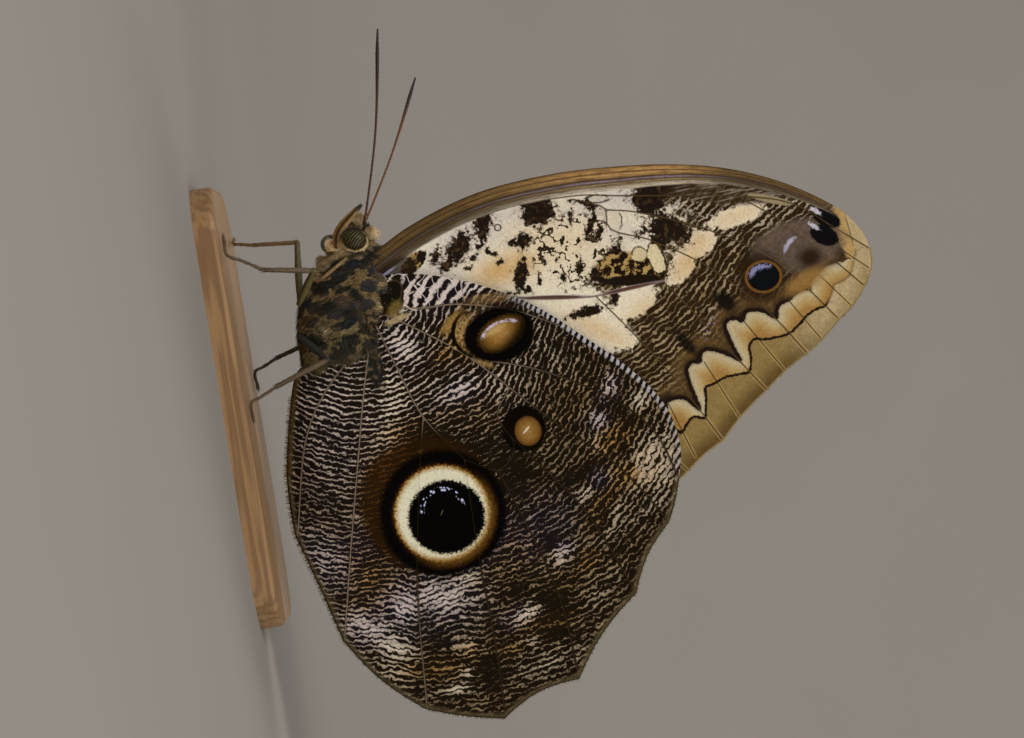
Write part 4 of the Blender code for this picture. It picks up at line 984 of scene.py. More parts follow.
def forewing_finish():
    """Scaled wing membrane: cream with dark blotches, then dark ripples, then a banded tan margin."""
    material, place = new_finish("forewing_scaled_membrane", 0.7, 0.05)
    cream, blotch, gold, cool = (mark(place, name) for name in ("cream", "blotch", "gold", "cool"))
    x, _, height = add("SeparateXYZ", {0: place}).node.outputs
    ragged = wobble(place, 0.45, 0.9, 4.0, 0.65)
    lacy = wobble(place, 0.8, 0.5)
    line = striped(place, calc("MULTIPLY_ADD", grain(place, 2.5), 1.7, -1.42), 0.35)
    dark = blend(grain(place, 1.6), "1c1208", "3a2812")
    stroke = blend(step_up(grain(place, 2.5), 0.4, 0.6), "786648", "a59372")
    stroke = blend(together(step_up(x, -8.0, -15.0), 0.7), stroke, "b9ad9c")
    colour = blend(line, dark, stroke)
    ivory = blend(together(gold, 1.3, clamp=True), "f8f1dc", "dcb87c")
    ivory = blend(together(cool, 1.2, clamp=True), ivory, "dfd8d2")
    ivory = blend(together(grain(place, 0.35, 3.0, 0.7), 0.1), ivory, "8a7654")
    colour = blend(step_up(calc("ADD", cream, ragged), 0.42, 0.6), colour, ivory)

    # Dark scribbles on the cream, then blotches whose edges break up like lace
    scribbled = spot_share(place, (-13.8, 50.0), (5.2, 6.1))[0]
    squiggle = step_up(away(grain(place, 1.5, 2.0), 0.5), 0.045, 0.03)
    broken = step_up(grain(place, 1.3, 2.0), 0.46, 0.485)
    colour = blend(together(squiggle, broken, step_up(scribbled, 1.1, 0.9)), colour, "2e2215")
    clots = step_up(grain(place, 0.9, 2.0), 0.65, 0.68)
    colour = blend(together(clots, step_up(scribbled, 1.25, 1.0)), colour, "241a10")
    torn = calc("ADD", calc("ADD", blotch, ragged), lacy)
    inner = blend(step_up(grain(place, 0.8, 3.0), 0.5, 0.72), "1f160e", "4a3824")
    colour = blend(together(step_up(torn, 0.1, 0.5), 0.25), colour, "8a7350")
    colour = blend(step_up(torn, 0.4, 0.62), colour, inner)
    colour = lacy_patches(place, colour, lacy)
    colour = cell_marks(place, colour)

    # Inside the scalloped line the ripples fade into golden brown, with a dark wedge at each notch
    scallop, zigzag, fold, rim = (mark(place, name) for name in ("scallop", "zigzag", "fold", "rim"))
    near_edge = step_up(calc("ADD", scallop, together(ragged, 2.0)), -2.8, -1.0)
    colour = blend(together(near_edge, 0.85), colour, blend(grain(place, 0.6, 3.0), "38291a", "7d6034"))
    wedge = calc("ADD", fold, together(ragged, 1.2))
    colour = blend(together(step_up(wedge, 1.6, 0.4), 0.8), colour, "1a120a")
    for centre, radii, lie in (((1.2, 63.0), (2.9, 0.9), 32), ((-3.6, 69.2), (2.3, 1.4), 36)):
        colour = dab(place, colour, "120e08", centre, radii, lie, (0.25, 0.6), strength=0.95)
    flecks = step_up(add("TexVoronoi", {"Vector": place, "Scale": 1 / 0.45}), 0.3, 0.18)
    colour = dab(place, colour, "a9a2c8", (-0.6, 66.35), (2.7, 0.7), 149, None, (1.3, 0.8),
                 together(flecks, 0.7))

    # Outside it lie cream cells that turn golden, then the tan margin
    tan = blend(grain(place, 0.6, 3.0), "a98c58", "cbab72")
    colour = dab(place, colour, tan, (-9.6, 87.7), (5.0, 1.9), 14, (0.15, 0.6), (1.15, 0.85))
    deep_in = calc("DIVIDE", calc("MAXIMUM", scallop, 0.0), 2.6)
    cell = add("ValToRGB", {0: ragged_share(place, deep_in, 0.08, 0.3)}, stops=[
        (0.0, "6e6252"), (0.1, "a89c80"), (0.25, "c8bb98"), (0.6, "bca26c"), (1.0, "a88148")])
    shadow = step_up(calc("MULTIPLY_ADD", ragged, 0.8, scallop), -1.0, -0.2)
    colour = blend(together(shadow, 0.6), colour, "1a120b")
    colour = blend(step_up(scallop, -0.02, 0.02), colour, cell)
    border = blend(step_up(rim, 0.2, 3.0), "5f4b2a", "96804f")
    bright = blend(step_up(rim, 0.2, 2.0), "a3926a", "c2b08a")
    border = blend(step_up(height, 75.0, 84.0), border, bright)
    border = blend(together(step_up(grain(place, 0.9, 4.0, 0.65), 0.4, 0.6), 0.25), border, "7d6232")
    colour = blend(step_up(zigzag, -0.02, 0.02), colour, border)
    colour = dab(place, colour, "bba982", (-8.9, 88.9), (4.6, 1.25), 14, (0.1, 0.7), (1.1, 0.9), 0.8)
    colour = dab(place, colour, "4a3520", (-10.4, 87.5), (2.6, 0.1), 6, (0.5, 0.5), (1.2, 0.6), 0.7)
    in_tip = step_up(height, 82.6, 83.6)
    for edge, width, kept in ((scallop, 0.36, 0.0), (zigzag, 0.27, 0.35)):
        blots = calc("MULTIPLY_ADD", grain(place, 0.4, 3.0), 0.45, -0.22)
        ink = step_up(calc("ADD", calc("ABSOLUTE", edge), blots), width, width - 0.16)
        ink = together(ink, calc("MULTIPLY_ADD", in_tip, kept - 1.0, 1.0))
        colour = blend(ink, colour, "201410")

    # Thin dark veins and folds, each with a lighter ridge beside it in the margin
    vein = calc("ADD", mark(place, "vein"), wobble(place, 0.04, 0.5, 2.0, 0.5))
    thin = calc("MINIMUM", vein, calc("ADD", fold, 0.03))
    ridge = together(step_up(thin, 0.4, 0.2), step_up(zigzag, 0.1, 0.5))
    colour = blend(together(ridge, 0.45), colour, "c2a66e")
    colour = blend(together(step_up(thin, 0.15, 0.07), 0.85), colour, "2c1d10")
    for centre, radii, lie in (((-7.95, 46.0), (6.6, 0.42), 82), ((-7.5, 56.6), (5.6, 0.36), 93)):
        colour = dab(place, colour, "9a8890", centre, radii, lie, edge=(1.0, 0.8), strength=0.6)
        colour = dab(place, colour, "5a4038", centre, radii, lie, edge=(0.75, 0.5))
    colour = forewing_spots(place, colour)
    colour = blend(together(step_up(vein, 0.1, 0.05), 0.25), colour, "8a7048")
    colour = costal_band(place, colour, height)
    colour = blend(step_up(rim, 0.2, 0.08), colour, "8f7c50")
    return scaly(material, place, colour)


def costal_band(place, colour, height):
    """Bands along the front edge: dark bronze at the wing's root, gold further out, brown by the tip, with
    painted shade over the root and a painted lilac glint on it.
    """
    width = add("MapRange", {0: height, 1: 58.0, 2: 88.0, 3: 3.5, 4: 1.0})
    leading = mark(place, "leading")
    share = ragged_share(place, calc("DIVIDE", leading, width), 0.02, 0.5)
    bands = add("ValToRGB", {0: share}, stops=[
        (0.0, "4a3820"), (0.05, "98764a"), (0.18, "c39a62"), (0.24, "62482a"), (0.3, "c39c66"),
        (0.42, "98784e"), (0.48, "3e2c1c"), (0.55, "988890"), (0.62, "54443a"), (0.67, "a08c68"),
        (0.73, "7a6a50"), (0.8, "b9ac9a"), (0.95, "d6cbb6")])
    streaks = add("CombineXYZ", {0: together(leading, 4.0), 1: together(height, 0.35)})
    streaks = step_up(grain(streaks, 1.0, 4.0, 0.6), 0.46, 0.66)
    low, high = step_up(height, 58.0, 30.0), step_up(height, 64.0, 74.0)
    for share_of, by, paint in ((streaks, 0.6, "43301a"), (low, 0.8, "3a2d18"), (high, 0.75, "3f3120")):
        bands = blend(together(share_of, by), bands, paint)
    shown = together(step_up(share, 0.98, 0.88), step_up(height, 87.0, 84.0))
    colour = blend(shown, colour, bands)
    # Dark bronze root patch, deepened as painted shade where the wing meets the body
    colour = dab(place, colour, "2c2012", (-14.6, 25.2), (3.8, 2.0), 118, (0.1, 0.8), (1.1, 0.7), 0.9)
    # A thin lilac streak painted as a glint of light on the root
    return dab(place, colour, "a29abe", (-14.9, 24.2), (1.6, 0.22), 118)


def forewing_spots(place, colour):
    """The small orange-ringed eye near the tip, the two black ovals, and the blue-white flecks by them."""
    haze = blend(grain(place, 0.7, 3.0), "453830", "7a685c")
    for paint, centre, radii, lie, ragged, edge, strength in (
            (haze, (-9.6, 80.3), (6.4, 3.6), 92, (0.15, 1.2), (1.15, 0.8), 0.95),
            ("2a1a0a", (-7.7, 81.6), (1.7, 2.0), 0, None, (1.3, 0.3), 0.95),
            ("a07c44", (-4.6, 80.6), (1.5, 4.2), 20, (0.2, 0.8), (1.2, 0.4), 0.8),
            ("2b1d0e", (-6.1, 74.5), (4.1, 4.2), 0, (0.15, 1.0), (1.1, 0.6), 0.9)):
        colour = dab(place, colour, paint, centre, radii, lie, ragged, edge, strength)
    ring, down, right = spot_share(place, (-6.1, 74.9), (2.32, 2.66))
    ring = ragged_share(place, ring, 0.06, 0.25)
    orange = add("ValToRGB", {0: ring}, stops=[
        (0.0, "0b0f14"), (0.8, "0a0c10"), (0.85, "6b4a1c"), (0.93, "7d5626"), (1.0, "33200a")])
    colour = blend(step_up(ring, 1.04, 0.96), colour, orange)
    shine = step_up(away(ragged_share(place, ring, 0.3, 0.25), 0.62), 0.2, 0.05)
    upper = step_up(calc("MULTIPLY_ADD", right, 0.4, down), -0.2, -0.5)
    colour = blend(together(shine, upper, 0.7), colour, "a3a8dc")
    for centre, radii, light in (((-12.6, 84.7), (2.1, 1.15), (-13.8, 83.4)),
                                 ((-10.35, 84.0), (2.1, 1.3), (-11.8, 82.8))):
        colour = dab(place, colour, "0b0a0b", centre, radii, 56, (0.15, 0.3), (1.08, 0.9))
        colour = dab(place, colour, "cfccdf", light, (1.0, 0.36), 48, (0.8, 0.3), (1.1, 0.5), 0.9)
    bow, down, right = spot_share(place, (-9.0, 80.0), (1.5, 1.5))
    side = step_up(calc("ADD", down, right), -0.85, -1.15)
    broken = step_up(grain(place, 0.4, 3.0, 0.7), 0.35, 0.5)
    return blend(together(step_up(away(bow, 1.0), 0.32, 0.08), side, broken, 0.9), colour, "bcbedc")


def inner_finish():
    """Scaled upper side of the wings: matt dark brown with a dull blue bloom near the body."""
    material, place = new_finish("upper_side_scaled_membrane", 0.7, 0.3)
    colour = blend(grain(place, 6.0), "2b2018", "3a2b1e")
    colour = dab(place, colour, "2e3650", (0.0, 34.0), (26.0, 26.0), edge=(1.1, 0.2), strength=0.8)
    colour = blend(step_up(mark(place, "rim"), 4.0, 1.0), colour, "1c1410")
    colour = blend(together(step_up(mark(place, "vein"), 0.4, 0.1), 0.6), colour, "18110c")
    return scaly(material, place, colour)


def humeral_lobe(place, colour):
    """The glossy dark patch by the shoulder, with white specks and an olive golden lower end."""
    lobe = ragged_share(place, spot_share(place, (-11.5, 23.8), (2.6, 1.5), 140)[0], 0.1, 0.5)
    colour = blend(step_up(lobe, 1.12, 1.0), colour, "3f3120")
    colour = blend(step_up(lobe, 1.0, 0.9), colour, "15120a")
    colour = dab(place, colour, "74602f", (-9.8, 24.5), (1.7, 1.1), 140, (0.3, 0.5), (1.1, 0.4), 0.9)
    colour = dab(place, colour, "b3a078", (-8.4, 24.6), (2.2, 0.5), 106, (0.3, 0.4), (1.1, 0.5), 0.85)
    specks = step_up(add("TexVoronoi", {"Vector": place, "Scale": 1 / 0.45}), 0.2, 0.1)
    return blend(together(specks, step_up(lobe, 0.8, 0.3), 0.6), colour, "a8a08c")


def cell_marks(place, colour):
    """Cream ovals and ringed marks in the front cell, with dark irregular outlines."""
    broken = step_up(grain(place, 1.1), 0.4, 0.55)
    for centre, radii, lie, fill in (
            ((-10.9, 60.8), (2.1, 1.0), 10, "e4d6b2"), ((-11.9, 58.6), (0.93, 0.93), 0, "dacba6"),
            ((-17.0, 55.9), (1.3, 1.1), 0, "e0d5c2"), ((-20.3, 54.2), (1.35, 0.45), 84, "d3cbc0"),
            ((-18.6, 40.1), (0.35, 0.35), 0, "d6cfc0")):
        oval = ragged_share(place, spot_share(place, centre, radii, lie)[0], 0.5, 1.1)
        outline = 1.0 + 0.2 / min(radii)
        ink = together(step_up(oval, outline + 0.1, outline - 0.08), broken, 0.9)
        colour = blend(ink, colour, "2a1e12")
        colour = blend(step_up(oval, 1.05, 0.95), colour, fill)
    return colour


def lacy_patches(place, colour, lacy):
    """Mottled brown at the cell's root and end, and soft brown streaks in front of the tip."""
    mottled = blend(step_up(grain(place, 1.0, 3.0, 0.7), 0.5, 0.57), "1e150b", "b8995e")
    for centre, radii, lie in (((-10.3, 57.1), (4.8, 2.2), 80), ((-15.7, 28.0), (2.2, 1.1), 126)):
        colour = dab(place, colour, mottled, centre, radii, lie, None, (1.05, 0.92),
                     pull=together(lacy, 0.35))
    colour = dab(place, colour, "1e150b", (-8.6, 57.2), (4.2, 0.8), 84, None, (1.0, 0.85),
                 pull=together(lacy, 0.6))
    streaks = add("Mapping", {"Vector": place, "Rotation": (0.0, 0.17, 0.0), "Scale": (3.0, 1.0, 0.35)})
    streaks = step_up(grain(streaks, 1.0, 3.0), 0.5, 0.68)
    brown = blend(streaks, blend(grain(place, 0.8), "2c2012", "4a3822"), "8a7e74")
    colour = dab(place, colour, brown, (-18.4, 72.5), (9.5, 2.1), 80, (0.15, 1.5), (1.1, 0.7), 0.85)
    return dab(place, colour, "9c8f70", (-16.4, 77.5), (3.2, 0.5), 68, (0.3, 0.8), (1.15, 0.8))


def make_wings():
    inner = inner_finish()
    make_wing("forewing", FOREWING_LEADING, FOREWING_MARGIN, FOREWING_TRAILING, FOREWING_VEINS,
              FOREWING_FOLDS, [SCALLOP_LINE, ZIGZAG_LINE], forewing_height, FOREWING_STRIPE_LIES,
              {"cream": FOREWING_CREAM, "blotch": FOREWING_BLOTCHES, "gold": FOREWING_GOLD,
               "cool": FOREWING_COOL},
              {"outer": forewing_finish(), "inner": inner})
    make_wing("hindwing", HINDWING_LEADING, HINDWING_MARGIN, HINDWING_TRAILING, HINDWING_VEINS,
              HINDWING_FOLDS, [], hindwing_height, HINDWING_STRIPE_LIES,
              {"pale": HINDWING_PALE, "warm": HINDWING_WARM, "dusk": HINDWING_DUSK, "lilac": HINDWING_LILAC},
              {"outer": hindwing_finish(), "inner": inner})


def make_camera():
    """A long lens square to the wings; the picture's right is up along the butterfly."""
    turn = math.radians(CAMERA_TURN)
    right = Vector((math.cos(turn), 0.0, math.sin(turn)))
    up = Vector((-math.sin(turn), 0.0, math.cos(turn)))
    back = Vector((0.0, -1.0, 0.0))
    camera = bpy.data.objects.new("camera", bpy.data.cameras.new("camera"))
    camera.data.lens = CAMERA_LENS
    camera.data.clip_start = 0.01
    place = (Vector(CAMERA_AIM) + back * CAMERA_DISTANCE) * MM
    camera.matrix_world = Matrix.Translation(place) @ Matrix((right, up, back)).transposed().to_4x4()
    bpy.context.scene.collection.objects.link(camera)
    bpy.context.scene.camera = camera


def pull_edge(bm, edge, move):
    """Grows a face of the floor from an edge of it."""
    grown = bmesh.ops.extrude_edge_only(bm, edges=[edge])["geom"]
    fresh = [item for item in grown if isinstance(item, bmesh.types.BMVert)]
    bmesh.ops.translate(bm, verts=fresh, vec=move)


def make_studio():
    """Pale floor that curves up behind, and large soft lamps."""
    bm = bmesh.new()
    bmesh.ops.create_grid(bm, x_segments=1, y_segments=1, size=FLOOR_HALF)
    for vertex in bm.verts:
        vertex.co.y = min(vertex.co.y, FLOOR_BACK)
    for step in range(BEND_STEPS):
        turn = math.radians(90 * (step + 0.5) / BEND_STEPS)
        rim = [edge for edge in bm.edges if len(edge.link_faces) == 1]
        far = [edge for edge in rim if min(vertex.co.y for vertex in edge.verts) > FLOOR_BACK - 0.01]
        far = max(far, key=lambda edge: edge.verts[0].co.z + edge.verts[0].co.y)
        pull_edge(bm, far, (0.0, BEND_STEP * math.cos(turn), BEND_STEP * math.sin(turn)))
    rim = [edge for edge in bm.edges if len(edge.link_faces) == 1]
    top = [edge for edge in rim if min(vertex.co.z for vertex in edge.verts) > 0.3]
    pull_edge(bm, top[0], (0.0, 0.0, WALL_HEIGHT))
    mesh = mesh_of("floor", bm)
    mesh.shade_smooth()
    material, place = new_finish("pale_studio_paper", 0.9, 0.2)
    mesh.materials.append(painted(material, blend(grain(place, 60.0), "8f8b88", "94908d")))
    floor = bpy.data.objects.new("floor", mesh)
    bpy.context.scene.collection.objects.link(floor)

    for name, spot, size, power in LAMPS:
        data = bpy.data.lights.new(name, "AREA")
        data.size = size
        data.energy = power
        data.color = linear(LAMP_COLOUR)[:3]
        lamp = bpy.data.objects.new(name, data)
        lamp.location = spot
        aim = Vector(LAMP_AIM) - lamp.location
        lamp.rotation_euler = aim.to_track_quat("-Z", "Y").to_euler()
        bpy.context.scene.collection.objects.link(lamp)
    world = bpy.data.worlds.new("studio_air")
    world.use_nodes = True
    world.node_tree.nodes["Background"].inputs["Color"].default_value = linear("eae6e0")
    world.node_tree.nodes["Background"].inputs["Strength"].default_value = 0.45
    bpy.context.scene.world = world
    bpy.context.scene.view_settings.view_transform = "Standard"


def skin_point(share, angle):
    """The place on the body's skin at a share of its length and an angle round it, in millimetres."""
    place = min(max(share, 0.0), 1.0) * (len(SKIN_RINGS) - 1)
    row = min(int(place), len(SKIN_RINGS) - 2)
    x, middle, half_height, half_width = SKIN_RINGS[row].lerp(SKIN_RINGS[row + 1], place - row)
    side, lift = math.cos(angle), math.sin(angle)
    round_off = (abs(side) ** BOXINESS + abs(lift) ** BOXINESS) ** (-1.0 / BOXINESS)
    return Vector((x, side * round_off * half_width, middle + lift * round_off * half_height))


def body_marks(spots):
    """How dark, rusty or pale the hair is at each place along the body, and where it is blue black with a
    painted blue glint.
    """
    flat = np.array([(spot[0], spot[2]) for spot in spots])
    return {"dark": oval_marks(flat, BODY_DARK), "rust": oval_marks(flat, BODY_RUST),
            "pale": oval_marks(flat, BODY_PALE), "blue": oval_marks(flat, BODY_BLUE_BLACK_AND_GLINT)}


def make_skin(finish):
    """One skin for head, thorax and abdomen: a ball whose rings are moved to the body's sizes."""
    rings = len(SKIN_RINGS) - 1
    bm = bmesh.new()
    bmesh.ops.create_uvsphere(bm, u_segments=48, v_segments=rings, radius=1.0)
    for vertex in bm.verts:
        ring = round(math.acos(max(-1.0, min(1.0, vertex.co.z))) / math.pi * rings)
        vertex.co = skin_point(ring / rings, math.atan2(vertex.co.y, vertex.co.x)) * MM
    bmesh.ops.recalc_face_normals(bm, faces=bm.faces)
    marks = body_marks([vertex.co / MM for vertex in bm.verts])
    marks["tone"] = np.full(len(bm.verts), 0.62)
    piece = new_piece("body_skin", bm, finish, marks)
    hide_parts("head", "thorax", "abdomen")


def grow_coat(name, tufts, finish):
    """Thin tapering tufts, each three-sided and bent along its lie, joined into one mesh.

    A tuft is its root, lie, outward direction, length, width, lift off the skin, place on the unwrapped
    skin, and its numbers for the finish.
    """
    roots, lies, outs = (np.array([tuft[i] for tuft in tufts]) for i in range(3))
    long, wide, lift = (np.array([tuft[i] for tuft in tufts])[:, None] for i in range(3, 6))
    unwrapped = np.array([tuft[6] for tuft in tufts])
    lies -= (lies * outs).sum(axis=1)[:, None] * outs
    lies /= np.linalg.norm(lies, axis=1)[:, None]
    sides = np.cross(lies, outs)
    rows, spots = [], []
    for share, thick in TUFT_RINGS:
        middle = roots + long * (lies * share + outs * (lift * share * (1.0 - 0.45 * share) - TUFT_SUNK))
        for corner in range(3):
            turn = math.tau * corner / 3 + math.pi / 6
            around = sides * math.cos(turn) + outs * TUFT_FLAT * math.sin(turn)
            rows.append(middle + around * wide * 0.5 * thick)
            spots.append((TUFT_PATCH * corner / 2, TUFT_PATCH * share, share))
    rows.append(roots + long * (lies + outs * lift * 0.55))
    spots.append((TUFT_PATCH / 2, TUFT_PATCH, 1.0))
    points = np.stack(rows, axis=1)
    count = points.shape[1]
    pattern = [(3 * row + a, 3 * row + b, 3 * row + 3 + b, 3 * row + 3 + a)
               for row in range(2) for a, b in ((0, 1), (1, 2), (2, 0))] + [(6, 7, 9), (7, 8, 9), (8, 6, 9)]
    starts = range(0, count * len(tufts), count)
    faces = [[corner + start for corner in face] for start in starts for face in pattern]
    mesh = bpy.data.meshes.new(name)
    mesh.from_pydata((points.reshape(-1, 3) * MM).tolist(), [], faces)
    spots = np.array(spots)
    unwrap = (unwrapped[:, None, :] + spots[None, :, :2]).reshape(-1, 2)
    corners = np.zeros(len(mesh.loops), dtype=np.int32)
    mesh.loops.foreach_get("vertex_index", corners)
    mesh.uv_layers.new(name="OFBake").data.foreach_set("uv", unwrap[corners].astype(np.float32).ravel())
    marks = {mark_name: np.repeat([tuft[7][mark_name] for tuft in tufts], count) for mark_name in tufts[0][7]}
    marks["tip"] = np.tile(spots[:, 2], len(tufts))
    new_piece(name, mesh, finish, marks)


def uv_share(share):
    """A share of the way across the unwrapped square, kept off its edges."""
    return 0.02 + 0.95 * share


def coat_on_skin(count, first, last, style, seed):
    """Roots spread over a length of the body; the style gives each tuft's lie, length, width and lift."""
    rng = random.Random(seed)
    widest = max(ring[2] + ring[3] for ring in SKIN_RINGS)
    tufts = []
    while len(tufts) < count:
        share, angle = rng.random(), rng.random() * math.tau
        root = skin_point(share, angle)
        ring = SKIN_RINGS[round(share * (len(SKIN_RINGS) - 1))]
        if not first <= root.x < last or rng.random() > (ring[2] + ring[3]) / widest + 0.1:
            continue
        ahead = skin_point(share + 0.004, angle) - root
        beside = skin_point(share, angle + 0.02) - root
        out = beside.cross(ahead).normalized()
        if out.dot(Vector((0.0, root.y, root.z - ring[1]))) < 0:
            out.negate()
        eye = Vector((root.x - EYE_CENTRE[0], 0.0, root.z - EYE_CENTRE[2])).length
        if eye < EYE_CLEAR and abs(root.y) > EYE_CLEAR_SIDE:
            continue
        lie, length, width, lift = style(root, rng)
        lie = Vector(lie) + Vector([rng.uniform(-0.16, 0.16) for _ in range(3)])
        unwrapped = (uv_share(share), uv_share(angle / math.tau))
        tufts.append([root, lie, out, length, width, lift, unwrapped])
    marks = body_marks([tuft[0] + tuft[1] * tuft[3] * 0.4 for tuft in tufts])
    for i, tuft in enumerate(tufts):
        numbers = {mark_name: values[i] for mark_name, values in marks.items()}
        numbers["tone"] = rng.uniform(0.75, 1.4)
        tuft.append(numbers)
    return tufts


def side_height(x, z):
    """How far the body's side stands out from the mirror plane at a place seen from the side."""
    best = 0.0
    for near, far in zip(SKIN_RINGS, SKIN_RINGS[1:]):
        if near.x <= x <= far.x:
            ring = near.lerp(far, (x - near.x) / max(far.x - near.x, 1e-6))
            rise = min(abs(z - ring[1]) / max(ring[2], 1e-6), 1.0)
            best = max(best, ring[3] * (1.0 - rise ** BOXINESS) ** (1.0 / BOXINESS))
    return best


def placed_tufts(seed):
    """Tufts of one kind each at places on both sides: on the head, and from the body over the wing roots."""
    rng = random.Random(seed)
    tufts = []
    for x, z, half_x, half_z, lie, count, length, lift, on_wing, numbers in TUFTS:
        for sign in (-1, 1):
            for _ in range(count):
                turn, reach = rng.random() * math.tau, math.sqrt(rng.random())
                root_x, root_z = x + half_x * reach * math.cos(turn), z + half_z * reach * math.sin(turn)
                height = side_height(root_x, root_z)
                out = Vector((0.0, sign, 0.0))
                if on_wing:
                    height = max(height, hindwing_height(root_x, root_z) + SHEET_HALF)
                elif height < 1.2:
                    out = (out + Vector((0.0, 0.0, 1.0 if root_z > 19.0 else -1.0))).normalized()
                way = math.radians(lie + rng.gauss(0.0, 11.0))
                heading = Vector((math.cos(way), sign * rng.uniform(-0.1, 0.1), math.sin(way)))
                look = {**PLAIN_HAIR, **numbers, "tone": rng.uniform(0.7, 1.25)}
                root = Vector((root_x, sign * height, root_z))
                tufts.append([root, heading, out, length * rng.uniform(0.7, 1.2), rng.uniform(0.08, 0.13),
                              lift * rng.uniform(0.5, 1.3),
                              (0.5 + root_x / 60.0, 0.5 + sign * root_z / 60.0), look])
    return tufts


def thorax_style(root, rng):
    """Long soft hair that runs down and back, longest on the chest, with some hairs standing out."""
    chest = min(max((15.0 - root.z) / 4.0, 0.0), 1.0)
    lift = rng.uniform(0.1, 0.3) + (rng.uniform(0.2, 0.5) if rng.random() < 0.25 + 0.3 * chest else 0.0)
    length = rng.uniform(0.7, 1.3) + 0.5 * chest
    return (0.33 + 0.5 * chest, 0.0, -0.94), length, rng.uniform(0.08, 0.14), lift


def head_style(root, rng):
    """Short close hair on the head, pointing away from the face."""
    if root.z < 19.2:
        return (0.5, 0.0, -0.8), rng.uniform(0.7, 1.1), 0.08, rng.uniform(0.2, 0.5)
    if root.x < -21.0:
        return (-0.8, 0.0, 0.4), rng.uniform(0.4, 0.7), 0.07, rng.uniform(0.2, 0.5)
    return (0.8, 0.0, 0.1), rng.uniform(0.5, 0.8), 0.07, rng.uniform(0.15, 0.4)


def abdomen_style(root, rng):
    """Flat hair along the abdomen, longer and looser where it leaves the thorax."""
    waist = min(max((-1.0 - root.x) / 5.0, 0.0), 1.0)
    length = rng.uniform(0.8, 1.3) + 0.7 * waist
    width = rng.uniform(0.09, 0.15)
    return (1.0, 0.0, -0.1 - 0.5 * waist), length, width, rng.uniform(0.08, 0.2) + 0.3 * waist


def make_coats(finish):
    for name, tufts in (
            ("thorax_coat", coat_on_skin(7500, -18.6, -4.4, thorax_style, 11)),
            ("head_coat", coat_on_skin(2200, -30.0, -18.2, head_style, 12) + eye_rims()),
            ("abdomen_coat", coat_on_skin(3000, -7.5, 30.0, abdomen_style, 13)),
            ("placed_tufts", placed_tufts(15))):
        grow_coat(name, tufts, finish)


def eye_rims():
    """Short scales round each eye: pale below and behind it, dark above."""
    rng = random.Random(14)
    tufts = []
    for sign in (-1, 1):
        for _ in range(RIM_TUFTS):
            angle = rng.random() * math.tau
            row = rng.random()
            lean = math.radians(EYE_LEAN)
            below = math.cos(angle + lean)
            reach = 1.01 + (0.1 + 0.1 * max(below, 0.0)) * row
            x, z = EYE_RADII[0] * reach * math.cos(angle), EYE_RADII[2] * reach * math.sin(angle)
            x, z = x * math.cos(lean) - z * math.sin(lean), x * math.sin(lean) + z * math.cos(lean)
            out = Vector((0.25 * x, sign * 1.0, 0.25 * z)).normalized()
            root = Vector((EYE_CENTRE[0] + x, sign * (EYE_CENTRE[1] + 0.12 - 0.35 * row), EYE_CENTRE[2] + z))
            along = Vector((x, 0.0, z)).cross(out).normalized() * -sign
            numbers = {**PLAIN_HAIR, "dark": min(max(-0.2 - 0.7 * x, 0.0), 1.0),
                       "pale": min(max(0.3 + 0.7 * x, 0.0), 1.4), "tone": rng.uniform(0.8, 1.25)}
            tufts.append([root, along + Vector((x, 0.0, z)) * 0.3, out, rng.uniform(0.3, 0.5), 0.08, 0.12,
                          (0.1 + 0.02 * row, 0.25 + 0.5 * (sign + 1) / 2 + 0.1 * angle / math.tau), numbers])
    return tufts


def fringe_finish():
    """Tiny scales that stand over a wing's edge: matt olive brown, some of them pale."""
    material, place = new_finish("wing_fringe_scales", 0.8, 0.1)
    colour = blend(mark(place, "pale"), "4a4230", "b8a67c")
    value = together(mark(place, "tone"), calc("MULTIPLY_ADD", mark(place, "tip"), 0.4, 0.8))
    colour = add("HueSaturation", {"Value": value, "Color": colour})
    return painted(material, colour)


def make_fringes():
    """The row of small scales along the outer margins, longer and hairier beside the abdomen."""
    finish = fringe_finish()
    rng = random.Random(17)
    for kind, path, height, paleness in (
            ("forewing", margin_path(FOREWING_MARGIN), forewing_height, 0.75),
            ("hindwing", margin_path(HINDWING_MARGIN) + stepped_path(HINDWING_TRAILING, EDGE_STEP)[1:18],
             hindwing_height, 0.3)):
        tufts = []
        for sign in (-1, 1):
            for start, end in zip(path, path[1:]):
                along = end - start
                out = Vector((-along.y, along.x)).normalized()
                hairy = min(max((12.0 - start.y) / 4.0, 0.0), 1.0) if kind == "hindwing" else 0.0
                for _ in range(round(along.length / FRINGE_STEP)):
                    spot = start + along * rng.random() - out * FRINGE_ROOT
                    way = out + along.normalized() * rng.uniform(-0.4, 0.4)
                    level = height(spot.x, spot.y) + rng.uniform(-0.8, 0.8) * SHEET_HALF
                    root = Vector((spot.x, sign * level, spot.y))
                    tufts.append([
                        root, Vector((way.x, 0.0, way.y)), Vector((0.0, sign, 0.0)),
                        rng.uniform(0.3, 0.5) + 0.3 * hairy, rng.uniform(0.09, 0.13), rng.uniform(-0.1, 0.15),
                        ((spot.x + 30.0) / 180.0 + (0.5 if sign > 0 else 0.0), spot.y / 100.0),
                        {"pale": min(max(rng.gauss(paleness, 0.25), 0.0), 1.0),
                         "tone": rng.uniform(0.7, 1.2)}])
        grow_coat(kind + "_fringe", tufts, finish)


def sideways(heading):
    """The way across a limb that lies nearest to the butterfly's own left and right."""
    return (Vector((0.0, 1.0, 0.0)) - heading * heading.y).normalized()


